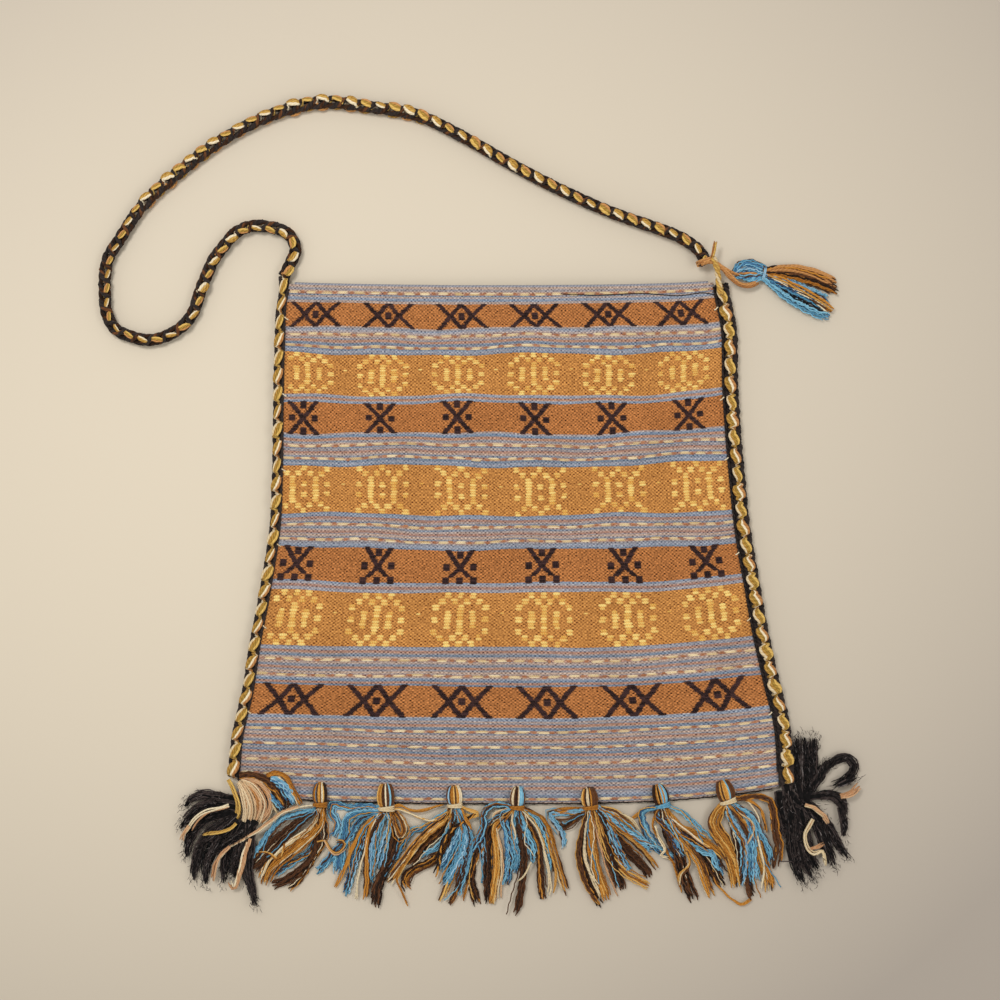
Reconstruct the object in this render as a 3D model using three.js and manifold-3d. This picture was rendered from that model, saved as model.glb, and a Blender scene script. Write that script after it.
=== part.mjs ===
// A woven wool shoulder bag with a fringe of tassels, lying on its back. Millimetres, +Z up.
// The origin is on the surface it lies on, +X runs across the bag and +Y points to its mouth.
import * as THREE from "three";
import { mergeVertices } from "three/addons/utils/BufferGeometryUtils.js";
import Module from "manifold-3d";

const wasm = await Module();
wasm.setup();

// Driving dimensions
const MOUTH_Y = 187; // the mouth's edge on the centre line
const CLOTH_DEPTH = 308; // from the mouth down to the fold
const WALL = 2; // thickness of the woven cloth
const SEAM_THICKNESS = 4.4; // both layers where they are sewn together
const SEAM_MARGIN = 5; // width of the sewn edge
const SEAM_LIFT = 2.3; // how far the side edges stand off the surface
const FLAT_SHARE = 0.84; // share of the width that lies flat on the surface
const PLUMP = 8.6; // rise of the front in the middle
const STRAP_RADIUS = 4.6;
const STRAP_SECTION_SIDES = 10;
const STRAP_STEPS = 66;
const TIE_INNER_RADIUS = 5.6;
const TIE_COIL_RADIUS = 1;
const TIE_COILS = 4;
const GAP = 0.4; // clearance between neighbouring pieces

// The cloth's side edges at levels below the mouth, and how far each row of weave climbs at its two ends
const OUTLINE = [
  { drop: 0, left: -136.5, right: 116.5, riseLeft: 2.4, riseRight: 3.2 },
  { drop: 12, left: -139, right: 118.5, riseLeft: 1.8, riseRight: 4.6 },
  { drop: 30, left: -139.8, right: 122, riseLeft: 1.2, riseRight: 5.2 },
  { drop: 66, left: -140.7, right: 122.7, riseLeft: 1.6, riseRight: 4.6 },
  { drop: 110, left: -141.2, right: 126, riseLeft: 1.2, riseRight: 4 },
  { drop: 146, left: -142.8, right: 129.7, riseLeft: 1.6, riseRight: 4 },
  { drop: 184, left: -148.6, right: 135.6, riseLeft: 1.6, riseRight: 6 },
  { drop: 212, left: -154.1, right: 140.4, riseLeft: 1.6, riseRight: 6.6 },
  { drop: 242, left: -158.6, right: 147, riseLeft: 2, riseRight: 6.8 },
  { drop: 270, left: -164.7, right: 153.5, riseLeft: 3, riseRight: 7.6 },
  { drop: 308, left: -168, right: 156, riseLeft: 4.2, riseRight: 9.6 },
];

// The side braids: left stands on its edge, right lies flatter
const SIDE_BRAIDS = {
  side_braid_left: { side: "left", outward: -1, halfWidth: 3.6, halfHeight: 4.5, from: 1, to: 297 },
  side_braid_right: { side: "right", outward: 1, halfWidth: 5, halfHeight: 4.2, from: 3, to: 300 },
};

// The strap's route over the surface, from the left corner of the mouth to the right one
const STRAP_ROUTE = [
  [-140, 194], [-136, 202], [-133, 210], [-136, 218], [-142, 222], [-151, 224], [-160, 224],
  [-169, 220], [-176, 212], [-182, 204], [-186, 195], [-190, 185], [-194, 173], [-200, 165],
  [-209, 159], [-220, 156], [-231, 158], [-241, 163], [-246, 173], [-247, 184], [-247, 194],
  [-245, 205], [-239, 215], [-224, 237], [-202, 257], [-178, 275], [-149, 290], [-118, 298],
  [-86, 295], [-59, 290], [-32, 277], [-4, 261], [23, 247], [54, 233], [85, 222], [97, 217],
  [106, 211], [110, 206], [112, 201],
];
const STRAP_END_LIFT = 3; // the strap's last stretch climbs to pass through the tie
const STRAP_CLIMB = 60;

// Bottom tassels, left to right: where the head sits, how far the tails lean, fan out and reach
const TASSELS = [
  { headX: -118.8, lean: -17, fan: 16, reach: 56 },
  { headX: -79.2, lean: -14, fan: 15, reach: 62 },
  { headX: -39, lean: -11, fan: 17, reach: 58 },
  { headX: 0, lean: 2, fan: 21, reach: 68 },
  { headX: 42.4, lean: 13, fan: 18, reach: 62 },
  { headX: 84.3, lean: 14, fan: 15, reach: 62 },
  { headX: 121.8, lean: 13, fan: 15, reach: 60 },
];
const TASSEL_LOCKS = 5;

// A tassel's head as sections from its crown over the fold: distance out past the fold, height, half sizes
const TASSEL_HEAD = [
  { out: -10, height: 8.1, halfWidth: 2.8, halfHeight: 2 },
  { out: -4, height: 8.7, halfWidth: 4.9, halfHeight: 2.8 },
  { out: 3.2, height: 7, halfWidth: 5.1, halfHeight: 2.9 },
  { out: 9, height: 4.4, halfWidth: 4.4, halfHeight: 3.3 },
  { out: 16, height: 3.5, halfWidth: 4.6, halfHeight: 3.3 },
];

// Locks of the fluffy corner tassels: where each one points, in degrees from +X, its length and its bend
const CORNER_TASSELS = {
  corner_tassel_left: {
    hub: [-176, -116],
    hubRadius: 7,
    locks: [
      { heading: 176, length: 24, bend: 8 },
      { heading: 196, length: 25, bend: -6 },
      { heading: 216, length: 29, bend: 6 },
      { heading: 236, length: 39, bend: -8 },
      { heading: 254, length: 50, bend: 8 },
      { heading: 272, length: 60, bend: 8 },
      { heading: 288, length: 62, bend: -6 },
    ],
  },
  corner_tassel_right: {
    hub: [173, -113],
    hubRadius: 6.5,
    locks: [
      { heading: 84, length: 27, bend: -5 },
      { heading: 58, length: 32, bend: 5 },
      { heading: 33, length: 32, bend: 7 },
      { heading: 8, length: 28, bend: -6 },
      { heading: 316, length: 37, bend: 7 },
      { heading: 294, length: 48, bend: -6 },
      { heading: 275, length: 53, bend: 5 },
    ],
  },
};

// The pale bundle at the left corner: sections from its crown over the corner to its foot
const CORNER_KNOT = [
  { at: [-161, -104, 10.2], halfWidth: 3.5, halfHeight: 2.6 },
  { at: [-158.5, -111, 11], halfWidth: 6.6, halfHeight: 4 },
  { at: [-157, -119, 10], halfWidth: 7.4, halfHeight: 4.2 },
  { at: [-156, -127, 6.6], halfWidth: 6.4, halfHeight: 4.2 },
  { at: [-156, -134.5, 4], halfWidth: 3.6, halfHeight: 2.8 },
];

// The strap's tassel: sections from its cord through the head to the waist, and the tips of its tails
const STRAP_TASSEL_HEAD = [
  { at: [119.8, 202.6, 7], halfWidth: 1.6, halfHeight: 1.6 },
  { at: [126.5, 199.6, 6.2], halfWidth: 1.8, halfHeight: 1.8 },
  { at: [130.5, 198, 5.2], halfWidth: 5, halfHeight: 4 },
  { at: [137, 196.6, 5], halfWidth: 6, halfHeight: 4.6 },
  { at: [143, 196, 4.2], halfWidth: 4.2, halfHeight: 3.8 },
  { at: [148.5, 195.2, 3.8], halfWidth: 4, halfHeight: 3.5 },
];
const STRAP_TASSEL_TIPS = [[189, 191], [191, 186], [190, 180], [187, 174], [182, 170]];

// Finishes: sRGB colour and roughness of each kind of yarn
const FINISHES = {
  cloth: { color: 0xa9774f, roughness: 0.95 },
  braid: { color: 0x4a3f33, roughness: 0.95 },
  tie: { color: 0xb9854a, roughness: 0.9 },
  fringe: { color: 0x8a6a4a, roughness: 0.95 },
  charcoal: { color: 0x2d2a30, roughness: 1 },
  pale: { color: 0xd9b896, roughness: 0.95 },
};

// Value of one outline column at a level, as a smooth curve through the table's rows
function outlineAt(column, drop) {
  const last = OUTLINE.length - 1;
  let i = 0;
  while (i < last - 1 && drop > OUTLINE[i + 1].drop) i += 1;
  const slope = (k) => {
    const before = OUTLINE[Math.max(k - 1, 0)];
    const after = OUTLINE[Math.min(k + 1, last)];
    return (after[column] - before[column]) / (after.drop - before.drop);
  };
  const [a, b] = [OUTLINE[i], OUTLINE[i + 1]];
  const span = b.drop - a.drop;
  const t = THREE.MathUtils.clamp((drop - a.drop) / span, 0, 1);
  const [t2, t3] = [t * t, t * t * t];
  return (
    (2 * t3 - 3 * t2 + 1) * a[column] +
    (t3 - 2 * t2 + t) * span * slope(i) +
    (3 * t2 - 2 * t3) * b[column] +
    (t3 - t2) * span * slope(i + 1)
  );
}

// Place on the plan of a point of cloth: u runs 0 to 1 across a row, drop down from the mouth
function clothPlan(u, drop) {
  const left = outlineAt("left", drop);
  const right = outlineAt("right", drop);
  const leftEnd = Math.max(0, 1 - u / 0.45);
  const rightEnd = Math.max(0, (u - 0.5) / 0.5);
  const rise = outlineAt("riseLeft", drop) * leftEnd ** 2 + outlineAt("riseRight", drop) * rightEnd ** 3;
  return [left + (right - left) * u, MOUTH_Y - drop + rise];
}

// The fold is rounded: how much each layer pulls in over the last stretch
function foldPull(drop) {
  const half = SEAM_THICKNESS / 2;
  const past = THREE.MathUtils.clamp((drop - (CLOTH_DEPTH - half)) / half, 0, 0.87);
  return half * (1 - Math.sqrt(1 - past * past));
}

function edgeLift(u, drop) {
  const edge = Math.max(0, (Math.abs(2 * u - 1) - FLAT_SHARE) / (1 - FLAT_SHARE));
  const fade = 1 - THREE.MathUtils.smoothstep(drop, CLOTH_DEPTH - 36, CLOTH_DEPTH);
  return SEAM_LIFT * edge * edge * fade;
}

function backHeight(u, drop) {
  return edgeLift(u, drop) + foldPull(drop);
}

// The front rises in a soft dome with slow waves, lower at the mouth and down to nothing at the fold
function frontHeight(u, drop) {
  const across = 1 - Math.abs(2 * u - 1) ** 2.4;
  const fromMouth = 0.8 + 0.2 * THREE.MathUtils.smoothstep(drop, 0, 70);
  const toFold = 1 - THREE.MathUtils.smoothstep(drop, CLOTH_DEPTH - 100, CLOTH_DEPTH + 4);
  const wave =
    0.7 * Math.sin(2 * Math.PI * (1.6 * u + drop / 190)) +
    0.5 * Math.sin(2 * Math.PI * (drop / 95 - 0.8 * u));
  const swell = (PLUMP + wave) * across * fromMouth * toFold;
  return SEAM_THICKNESS + edgeLift(u, drop) + swell - foldPull(drop);
}

// The skin over rings of equal count, open at its two ends
function loft(rings) {
  const positions = [];
  const faces = [];
  const count = rings[0].length;
  rings.flat().forEach((p) => positions.push(...p));
  for (let r = 0; r < rings.length - 1; r += 1) {
    for (let i = 0; i < count; i += 1) {
      const a = r * count + i;
      const b = r * count + ((i + 1) % count);
      faces.push(a, b + count, b, a, a + count, b + count);
    }
  }
  return { positions, faces, count, rings: rings.length };
}

function geometryOf(positions, faces) {
  const geometry = new THREE.BufferGeometry();
  geometry.setAttribute("position", new THREE.Float32BufferAttribute(positions, 3));
  geometry.setIndex(faces);
  geometry.computeVertexNormals();
  return geometry;
}

// Sections along a curve as a closed solid, each section an ellipse across the curve
function sweptSolid(sections, steps, sides) {
  const curve = new THREE.CatmullRomCurve3(sections.map((s) => new THREE.Vector3(...s.at)));
  const up = new THREE.Vector3(0, 0, 1);
  const rings = [];
  for (let k = 0; k <= steps; k += 1) {
    const t = k / steps;
    const centre = curve.getPoint(t);
    const along = curve.getTangent(t);
    const side = new THREE.Vector3().crossVectors(along, up).normalize();
    const over = new THREE.Vector3().crossVectors(side, along);
    const place = t * (sections.length - 1);
    const i = Math.min(Math.floor(place), sections.length - 2);
    const mix = (key) => THREE.MathUtils.lerp(sections[i][key], sections[i + 1][key], place - i);
    const [halfWidth, halfHeight] = [mix("halfWidth"), mix("halfHeight")];
    const ring = [];
    for (let j = 0; j < sides; j += 1) {
      const angle = (2 * Math.PI * (j + 0.5)) / sides;
      const p = centre.clone();
      p.addScaledVector(side, halfWidth * Math.cos(angle));
      p.addScaledVector(over, halfHeight * Math.sin(angle));
      ring.push(p.toArray());
    }
    rings.push(ring);
  }
  const { positions, faces, count, rings: total } = loft(rings);
  for (let j = 1; j < count - 1; j += 1) {
    const end = (total - 1) * count;
    faces.push(0, j, j + 1, end, end + j + 1, end + j);
  }
  return geometryOf(positions, faces);
}

function manifoldOf(geometry) {
  const bare = geometry.clone();
  bare.deleteAttribute("normal");
  bare.deleteAttribute("uv");
  const merged = mergeVertices(bare, 1e-4);
  const mesh = new wasm.Mesh({
    numProp: 3,
    vertProperties: merged.attributes.position.array,
    triVerts: new Uint32Array(merged.index.array),
  });
  return new wasm.Manifold(mesh);
}

// Several overlapping solids joined into one
function fused(geometries) {
  const joined = geometries.map(manifoldOf).reduce((sum, solid) => sum.add(solid));
  const { vertProperties, triVerts } = joined.getMesh();
  return geometryOf(vertProperties, Array.from(triVerts));
}

// The pouch: outer and inner skins over one grid, joined round the mouth and closed at the fold
function bagBody() {
  const frontColumns = 24;
  const backColumns = frontColumns / 2;
  const levels = [0, 8, 22, 42, 66, 92, 120, 148, 176, 204, 230, 252, 270, 285, 296, 303];
  const spaced = (k, n) => k / n - 0.0796 * Math.sin((2 * Math.PI * k) / n);
  const ringAt = (drop, inset, wall) => {
    const width = outlineAt("right", drop) - outlineAt("left", drop);
    const edge = inset / width;
    const across = (k, n) => edge + (1 - 2 * edge) * spaced(k, n);
    const ring = [];
    for (let k = 0; k <= frontColumns; k += 1) {
      const u = across(k, frontColumns);
      ring.push([...clothPlan(u, drop), frontHeight(u, drop) - wall]);
    }
    for (let k = backColumns; k >= 0; k -= 1) {
      const u = across(k, backColumns);
      ring.push([...clothPlan(u, drop), backHeight(u, drop) + wall]);
    }
    return ring;
  };
  const outer = loft([...levels, CLOTH_DEPTH - 1, CLOTH_DEPTH].map((d) => ringAt(d, 0, 0)));
  const inner = loft(levels.map((d) => ringAt(d, SEAM_MARGIN, WALL)));
  const offset = outer.positions.length / 3;
  const positions = [...outer.positions, ...inner.positions];
  const faces = [...outer.faces];
  for (let i = 0; i < inner.faces.length; i += 3) {
    const [a, b, c] = inner.faces.slice(i, i + 3);
    faces.push(offset + a, offset + c, offset + b);
  }
  for (let i = 0; i < outer.count; i += 1) {
    const next = (i + 1) % outer.count;
    faces.push(i, offset + next, offset + i, i, next, offset + next);
  }
  const endFill = (skin, start, outward) => {
    const first = start + (skin.rings - 1) * skin.count;
    const front = (k) => first + k;
    const back = (k) => first + frontColumns + 1 + backColumns - k;
    for (let k = 0; k < backColumns; k += 1) {
      const corners = [
        [back(k), back(k + 1), front(2 * k + 1)],
        [back(k), front(2 * k + 1), front(2 * k)],
        [back(k + 1), front(2 * k + 2), front(2 * k + 1)],
      ];
      corners.forEach(([a, b, c]) => faces.push(a, ...(outward ? [b, c] : [c, b])));
    }
  };
  endFill(outer, 0, true);
  endFill(inner, offset, false);
  return geometryOf(positions, faces);
}

// A side braid follows the cloth's edge, a small gap outside it
function sideBraid({ side, outward, halfWidth, halfHeight, from, to }) {
  const stations = 16;
  const sections = [];
  for (let k = 0; k < stations; k += 1) {
    const drop = from + ((to - from) * k) / (stations - 1);
    const [x, y] = clothPlan(side === "left" ? 0 : 1, drop);
    const at = [x + outward * (halfWidth + GAP), y, halfHeight + 0.1];
    sections.push({ at, halfWidth, halfHeight });
  }
  return sweptSolid(sections, 30, 10);
}

function strapCurve() {
  const last = STRAP_ROUTE[STRAP_ROUTE.length - 1];
  const points = STRAP_ROUTE.map(([x, y]) => {
    const toEnd = Math.hypot(x - last[0], y - last[1]);
    const climb = 1 - THREE.MathUtils.smoothstep(toEnd, 0, STRAP_CLIMB);
    return new THREE.Vector3(x, y, STRAP_RADIUS + 0.1 + STRAP_END_LIFT * climb);
  });
  return new THREE.CatmullRomCurve3(points);
}

function shoulderStrap() {
  const section = new THREE.Shape();
  for (let k = 0; k < STRAP_SECTION_SIDES; k += 1) {
    const angle = (2 * Math.PI * k) / STRAP_SECTION_SIDES;
    const point = [STRAP_RADIUS * Math.cos(angle), STRAP_RADIUS * Math.sin(angle)];
    if (k === 0) section.moveTo(...point);
    else section.lineTo(...point);
  }
  section.closePath();
  const options = { steps: STRAP_STEPS, extrudePath: strapCurve(), bevelEnabled: false };
  return new THREE.ExtrudeGeometry(section, options);
}

// Turns of yarn wound round the strap's end, as one ribbed ring
function strapTie() {
  const length = TIE_COILS * 2 * TIE_COIL_RADIUS;
  const profile = [];
  profile.push(new THREE.Vector2(TIE_INNER_RADIUS, -length / 2));
  for (let k = 0; k < TIE_COILS; k += 1) {
    for (const turn of [-0.7, 0, 0.7]) {
      const along = -length / 2 + (2 * k + 1 + turn) * TIE_COIL_RADIUS;
      const bulge = 0.6 + TIE_COIL_RADIUS * Math.sqrt(1 - turn * turn);
      profile.push(new THREE.Vector2(TIE_INNER_RADIUS + bulge, along));
    }
  }
  profile.push(new THREE.Vector2(TIE_INNER_RADIUS, length / 2));
  profile.push(profile[0].clone());
  const ring = new THREE.LatheGeometry(profile, 14);
  const curve = strapCurve();
  const station = 0.986;
  const turn = new THREE.Quaternion().setFromUnitVectors(
    new THREE.Vector3(0, 1, 0),
    curve.getTangentAt(station),
  );
  ring.applyQuaternion(turn);
  ring.translate(...curve.getPointAt(station).toArray());
  return ring;
}

// Tapered locks of yarn that run from one place to their tips on the surface
function lock(from, tip, bend, halfWidths, halfHeights) {
  const dx = tip[0] - from[0];
  const dy = tip[1] - from[1];
  const length = Math.hypot(dx, dy);
  const sections = [0, 0.34, 0.7, 1].map((t, i) => {
    const sway = (bend * Math.sin(Math.PI * t)) / length;
    const x = from[0] + dx * t - dy * sway;
    const y = from[1] + dy * t + dx * sway;
    const z = Math.max(halfHeights[i] + 0.15, from[2] * (1 - 1.6 * t));
    return { at: [x, y, z], halfWidth: halfWidths[i], halfHeight: halfHeights[i] };
  });
  return sweptSolid(sections, 3, 6);
}

function foldY(x) {
  const width = outlineAt("right", CLOTH_DEPTH) - outlineAt("left", CLOTH_DEPTH);
  return clothPlan((x - outlineAt("left", CLOTH_DEPTH)) / width, CLOTH_DEPTH)[1];
}

function bottomTassel({ headX, lean, fan, reach }) {
  const edge = foldY(headX);
  const head = TASSEL_HEAD.map(({ out, height, halfWidth, halfHeight }) => ({
    at: [headX, edge - out, height],
    halfWidth,
    halfHeight,
  }));
  const pieces = [sweptSolid(head, 7, 8)];
  for (let k = 0; k < TASSEL_LOCKS; k += 1) {
    const across = (2 * k) / (TASSEL_LOCKS - 1) - 1;
    const wobble = (k % 2 === 0 ? 1 : -1) * 4;
    const from = [headX + 2.4 * across, edge - 12, 3.6];
    const tip = [headX + lean + fan * across, edge - reach + wobble + 6 * across * across];
    const bend = 4 * across - 0.15 * lean;
    pieces.push(lock(from, tip, bend, [2.8, 4, 3.8, 2], [2.4, 2.7, 2.4, 1.4]));
  }
  return fused(pieces);
}

function cornerTassel({ hub, hubRadius, locks }) {
  const core = new THREE.SphereGeometry(hubRadius, 10, 7);
  core.scale(1, 1, 0.7);
  core.translate(hub[0], hub[1], 0.7 * hubRadius + 0.2);
  const pieces = [core];
  for (const { heading, length, bend } of locks) {
    const angle = THREE.MathUtils.degToRad(heading);
    const tip = [hub[0] + length * Math.cos(angle), hub[1] + length * Math.sin(angle)];
    pieces.push(lock([hub[0], hub[1], 5], tip, bend, [3.6, 5.2, 5.8, 3.2], [3.2, 3.9, 3.9, 2.3]));
  }
  return fused(pieces);
}

function strapTassel() {
  const pieces = [sweptSolid(STRAP_TASSEL_HEAD, 12, 8)];
  const waist = STRAP_TASSEL_HEAD[STRAP_TASSEL_HEAD.length - 1].at;
  STRAP_TASSEL_TIPS.forEach((tip, k) => {
    const across = (2 * k) / (STRAP_TASSEL_TIPS.length - 1) - 1;
    const from = [waist[0] - 4, waist[1] - 1.5 * across, waist[2]];
    pieces.push(lock(from, tip, 1.5 * across, [2.2, 2.6, 2.6, 1.4], [2.4, 2.4, 2, 1.2]));
  });
  return fused(pieces);
}

const bag = new THREE.Group();

function addPiece(name, geometry, finish) {
  const material = new THREE.MeshStandardMaterial({ ...FINISHES[finish], metalness: 0 });
  const piece = new THREE.Mesh(geometry, material);
  piece.name = name;
  bag.add(piece);
}

addPiece("bag_body", bagBody(), "cloth");
for (const [name, braid] of Object.entries(SIDE_BRAIDS)) addPiece(name, sideBraid(braid), "braid");
addPiece("shoulder_strap", shoulderStrap(), "braid");
addPiece("strap_tie", strapTie(), "tie");
addPiece("strap_tassel", strapTassel(), "fringe");
TASSELS.forEach((tassel, i) => addPiece(`tassel_${i + 1}`, bottomTassel(tassel), "fringe"));
addPiece("corner_knot_left", sweptSolid(CORNER_KNOT, 8, 8), "pale");
for (const [name, tassel] of Object.entries(CORNER_TASSELS)) {
  addPiece(name, cornerTassel(tassel), "charcoal");
}

export default bag;
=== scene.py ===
import math

import bpy
import numpy as np
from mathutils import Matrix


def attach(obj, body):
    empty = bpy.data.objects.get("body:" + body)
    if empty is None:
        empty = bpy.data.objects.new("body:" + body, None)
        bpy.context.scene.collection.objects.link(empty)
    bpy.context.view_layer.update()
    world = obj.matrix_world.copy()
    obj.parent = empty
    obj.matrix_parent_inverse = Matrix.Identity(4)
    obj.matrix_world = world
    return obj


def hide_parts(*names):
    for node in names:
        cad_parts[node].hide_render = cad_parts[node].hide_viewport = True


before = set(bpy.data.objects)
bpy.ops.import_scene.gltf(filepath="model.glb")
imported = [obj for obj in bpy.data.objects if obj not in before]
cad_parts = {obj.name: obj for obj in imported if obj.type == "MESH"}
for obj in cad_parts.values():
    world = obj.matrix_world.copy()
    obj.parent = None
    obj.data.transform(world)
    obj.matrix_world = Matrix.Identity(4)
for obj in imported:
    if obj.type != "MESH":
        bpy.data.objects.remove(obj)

MM = 0.001
TURN = 2 * math.pi
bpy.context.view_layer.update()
RANDOM = np.random.default_rng(41)

# The cloth, with the same driving sizes as the solids
MOUTH_Y = 187.0
CLOTH_DEPTH = 308.0
WALL = 2.0
SEAM_THICKNESS = 4.4
SEAM_MARGIN = 5.0
SEAM_LIFT = 2.3
FLAT_SHARE = 0.84
PLUMP = 8.6
LOOM_WIDTH = 300.0

# Side edges at levels below the mouth, and how far each row of weave climbs at its two ends
OUTLINE = np.array(
    [
        (0, -136.5, 116.5, 2.4, 3.2),
        (12, -139.0, 118.5, 1.8, 4.6),
        (30, -139.8, 122.0, 1.2, 5.2),
        (66, -140.7, 122.7, 1.6, 4.6),
        (110, -141.2, 126.0, 1.2, 4.0),
        (146, -142.8, 129.7, 1.6, 4.0),
        (184, -148.6, 135.6, 1.6, 6.0),
        (212, -154.1, 140.4, 1.6, 6.6),
        (242, -158.6, 147.0, 2.0, 6.8),
        (270, -164.7, 153.5, 3.0, 7.6),
        (308, -168.0, 156.0, 4.2, 9.6),
    ],
    dtype=[("drop", float), ("left", float), ("right", float), ("rise_left", float), ("rise_right", float)],
)

# Woven bands down the cloth: ground, motif, where the band starts and ends, first motif and repeat across
BANDS = (
    ("rust", "crossed_diamond", 10.2, 24.0, 0.0717, 0.1683),
    ("ochre", "medallion", 40.2, 64.5, 0.0570, 0.1706),
    ("rust", "asterisk", 69.3, 87.0, 0.0480, 0.1740),
    ("ochre", "hourglass", 106.8, 135.6, 0.0513, 0.1750),
    ("rust", "footed_asterisk", 156.0, 175.8, 0.0478, 0.1755),
    ("ochre", "medallion", 181.8, 214.2, 0.0580, 0.1727),
    ("rust", "crossed_diamond", 237.6, 256.2, 0.0790, 0.1653),
)
MOTIFS_ACROSS = 6
DASH_ROWS = (
    4.2, 28.8, 36.0, 94.2, 102.0, 142.5, 151.2, 222.3, 231.6, 264.9, 274.2, 283.8, 292.8, 305.7,
)
DASHES_ACROSS = 26
THIN_RUST_LINES = (
    32.4, 66.9, 90.6, 98.1, 138.9, 146.9, 178.8, 217.2, 227.0, 235.8, 261.0, 269.6, 279.0, 288.3,
    299.0,
)
BLUE_LINES = (
    7.6, 26.4, 38.4, 65.4, 68.4, 88.4, 105.2, 137.0, 154.2, 176.8, 180.8, 215.4, 233.6, 257.4,
    302.6,
)

# Charts of the yellow motifs: each mark is a block of two weft floats
MEDALLION_CHART = (
    "..#.#.#..",
    ".#.#.#.#.",
    "#...#...#",
    "..#.#.#..",
    "#.#.#.#.#",
    "..#.#.#..",
    "#...#...#",
    ".#.#.#.#.",
    "..#.#.#..",
)
HOURGLASS_CHART = (
    "#...#...#",
    ".#.#.#.#.",
    "..#...#..",
    "#.#.#.#.#",
    "..#...#..",
    "#.#.#.#.#",
    "..#...#..",
    ".#.#.#.#.",
    "#...#...#",
)
CHART_COLUMN = 3.9
FLOATS_PER_MARK = 2

# Dark motifs as strokes and dots, in half band heights down and millimetres across the loom
CROSSED_DIAMOND = {
    "strokes": [
        ((-16.4, -1.05), (-7.4, 0.0), (-16.4, 1.05)),
        ((0.0, -1.05), (-7.4, 0.0), (0.0, 1.05)),
        ((0.0, -1.05), (7.4, 0.0), (0.0, 1.05)),
        ((16.4, -1.05), (7.4, 0.0), (16.4, 1.05)),
    ],
    "dots": [(0.0, 0.0)],
}
ASTERISK = {
    "strokes": [((-9.0, -1.0), (0.0, 0.0), (9.0, 1.0)), ((9.0, -1.0), (0.0, 0.0), (-9.0, 1.0))],
    "dots": [(0.0, -0.8), (0.0, 0.8), (-7.7, 0.0), (7.7, 0.0)],
}
FOOTED_ASTERISK = {
    "strokes": [((-8.0, -1.05), (0.0, 0.05), (5.6, 0.6)), ((8.0, -1.05), (0.0, 0.05), (-5.6, 0.6))],
    "dots": [(0.0, -0.76), (-8.6, 0.0), (8.6, 0.0), (-8.8, 0.9), (0.0, 0.9), (8.8, 0.9)],
}
DARK_MOTIFS = {"crossed_diamond": CROSSED_DIAMOND, "asterisk": ASTERISK, "footed_asterisk": FOOTED_ASTERISK}
YELLOW_MOTIFS = {"medallion": MEDALLION_CHART, "hourglass": HOURGLASS_CHART}
DARK_THREAD = 0.85
DARK_FLOAT_HALF = 2.2
DOT_HALF = 2.4

# The strap's route over the surface, as in the solids, from the left corner of the mouth to the right one
STRAP_ROUTE = (
    (-140, 194), (-136, 202), (-133, 210), (-136, 218), (-142, 222), (-151, 224), (-160, 224),
    (-169, 220), (-176, 212), (-182, 204), (-186, 195), (-190, 185), (-194, 173), (-200, 165),
    (-209, 159), (-220, 156), (-231, 158), (-241, 163), (-246, 173), (-247, 184), (-247, 194),
    (-245, 205), (-239, 215), (-224, 237), (-202, 257), (-178, 275), (-149, 290), (-118, 298),
    (-86, 295), (-59, 290), (-32, 277), (-4, 261), (23, 247), (54, 233), (85, 222), (97, 217),
    (106, 211), (110, 206), (112, 201),
)
STRAP_RADIUS = 4.6
STRAP_END_LIFT = 3.0
STRAP_CLIMB = 60.0
BRAID_PITCH = 17.4
SIDE_PITCH = 21.5

# Yarn routes are drawn in steps of 0.6 mm from the top left corner of the camera's view
ROUTE_STEP = 0.6
ROUTE_ORIGIN = (518.0, 600.7)

# Yarns by colour: radius, size and length of their crimp, and how densely a bundle is filled
YARNS = {
    "blue": (0.52, 0.50, 5.6, 0.20),
    "brown": (0.60, 0.34, 7.0, 0.18),
    "ochre": (0.60, 0.22, 13.0, 0.15),
    "cream": (0.55, 0.20, 16.0, 0.14),
    "peach": (0.58, 0.25, 12.0, 0.17),
    "pale": (0.55, 0.20, 16.0, 0.14),
    "gold": (0.62, 0.15, 14.0, 0.14),
    "tan": (0.66, 0.15, 14.0, 0.14),
    "charcoal": (0.38, 0.28, 9.0, 0.28),
}
# Odd yarns in a bundle: share of each other colour
MIXTURES = {
    "blue": (("pale blue", 0.16), ("deep blue", 0.14), ("brown", 0.15)),
    "brown": (("dark brown", 0.3), ("ochre", 0.1)),
    "ochre": (("light ochre", 0.3), ("cream", 0.08), ("brown", 0.1)),
    "peach": (("cream", 0.25), ("tan", 0.1)),
    "cream": (("peach", 0.15),),
    "pale": (("peach", 0.15),),
    # Charcoal: near-black yarns, and a few light grey yarns as painted highlight
    "charcoal": (("soot", 0.4), ("ash", 0.03)),
}

# Bottom tassels, left to right: top and waist of the head, its half width, its yarns and its binding
TASSEL_HEADS = (
    ((321, 782), (321, 803), 8.0, ("blue", "ochre", "ochre", "cream", "brown"), "ochre"),
    ((386, 783), (387, 807), 10.0, ("ochre", "brown", "cream", "blue", "brown"), "cream"),
    ((454, 785), (455, 804), 9.0, ("brown", "ochre", "blue", "ochre", "cream"), "cream"),
    ((518, 786), (517, 806), 8.5, ("cream", "brown", "cream", "blue", "blue"), "ochre"),
    ((588, 787), (590, 806), 9.5, ("ochre", "cream", "brown", "brown", "brown"), "ochre"),
    ((657, 784), (662, 804), 9.0, ("brown", "ochre", "ochre", "blue", "cream"), "blue"),
    ((721, 780), (727, 800), 10.5, ("brown", "brown", "ochre", "blue", "brown"), "cream"),
)


def routes(table):
    """Rows of a table in words: colour, width of the bundle and the places on its route."""
    rows = []
    for row in table.strip().splitlines():
        colour, width, *places = row.split()
        route = [tuple(map(int, place.split(","))) for place in places]
        rows.append((colour, int(width), route))
    return rows


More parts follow.
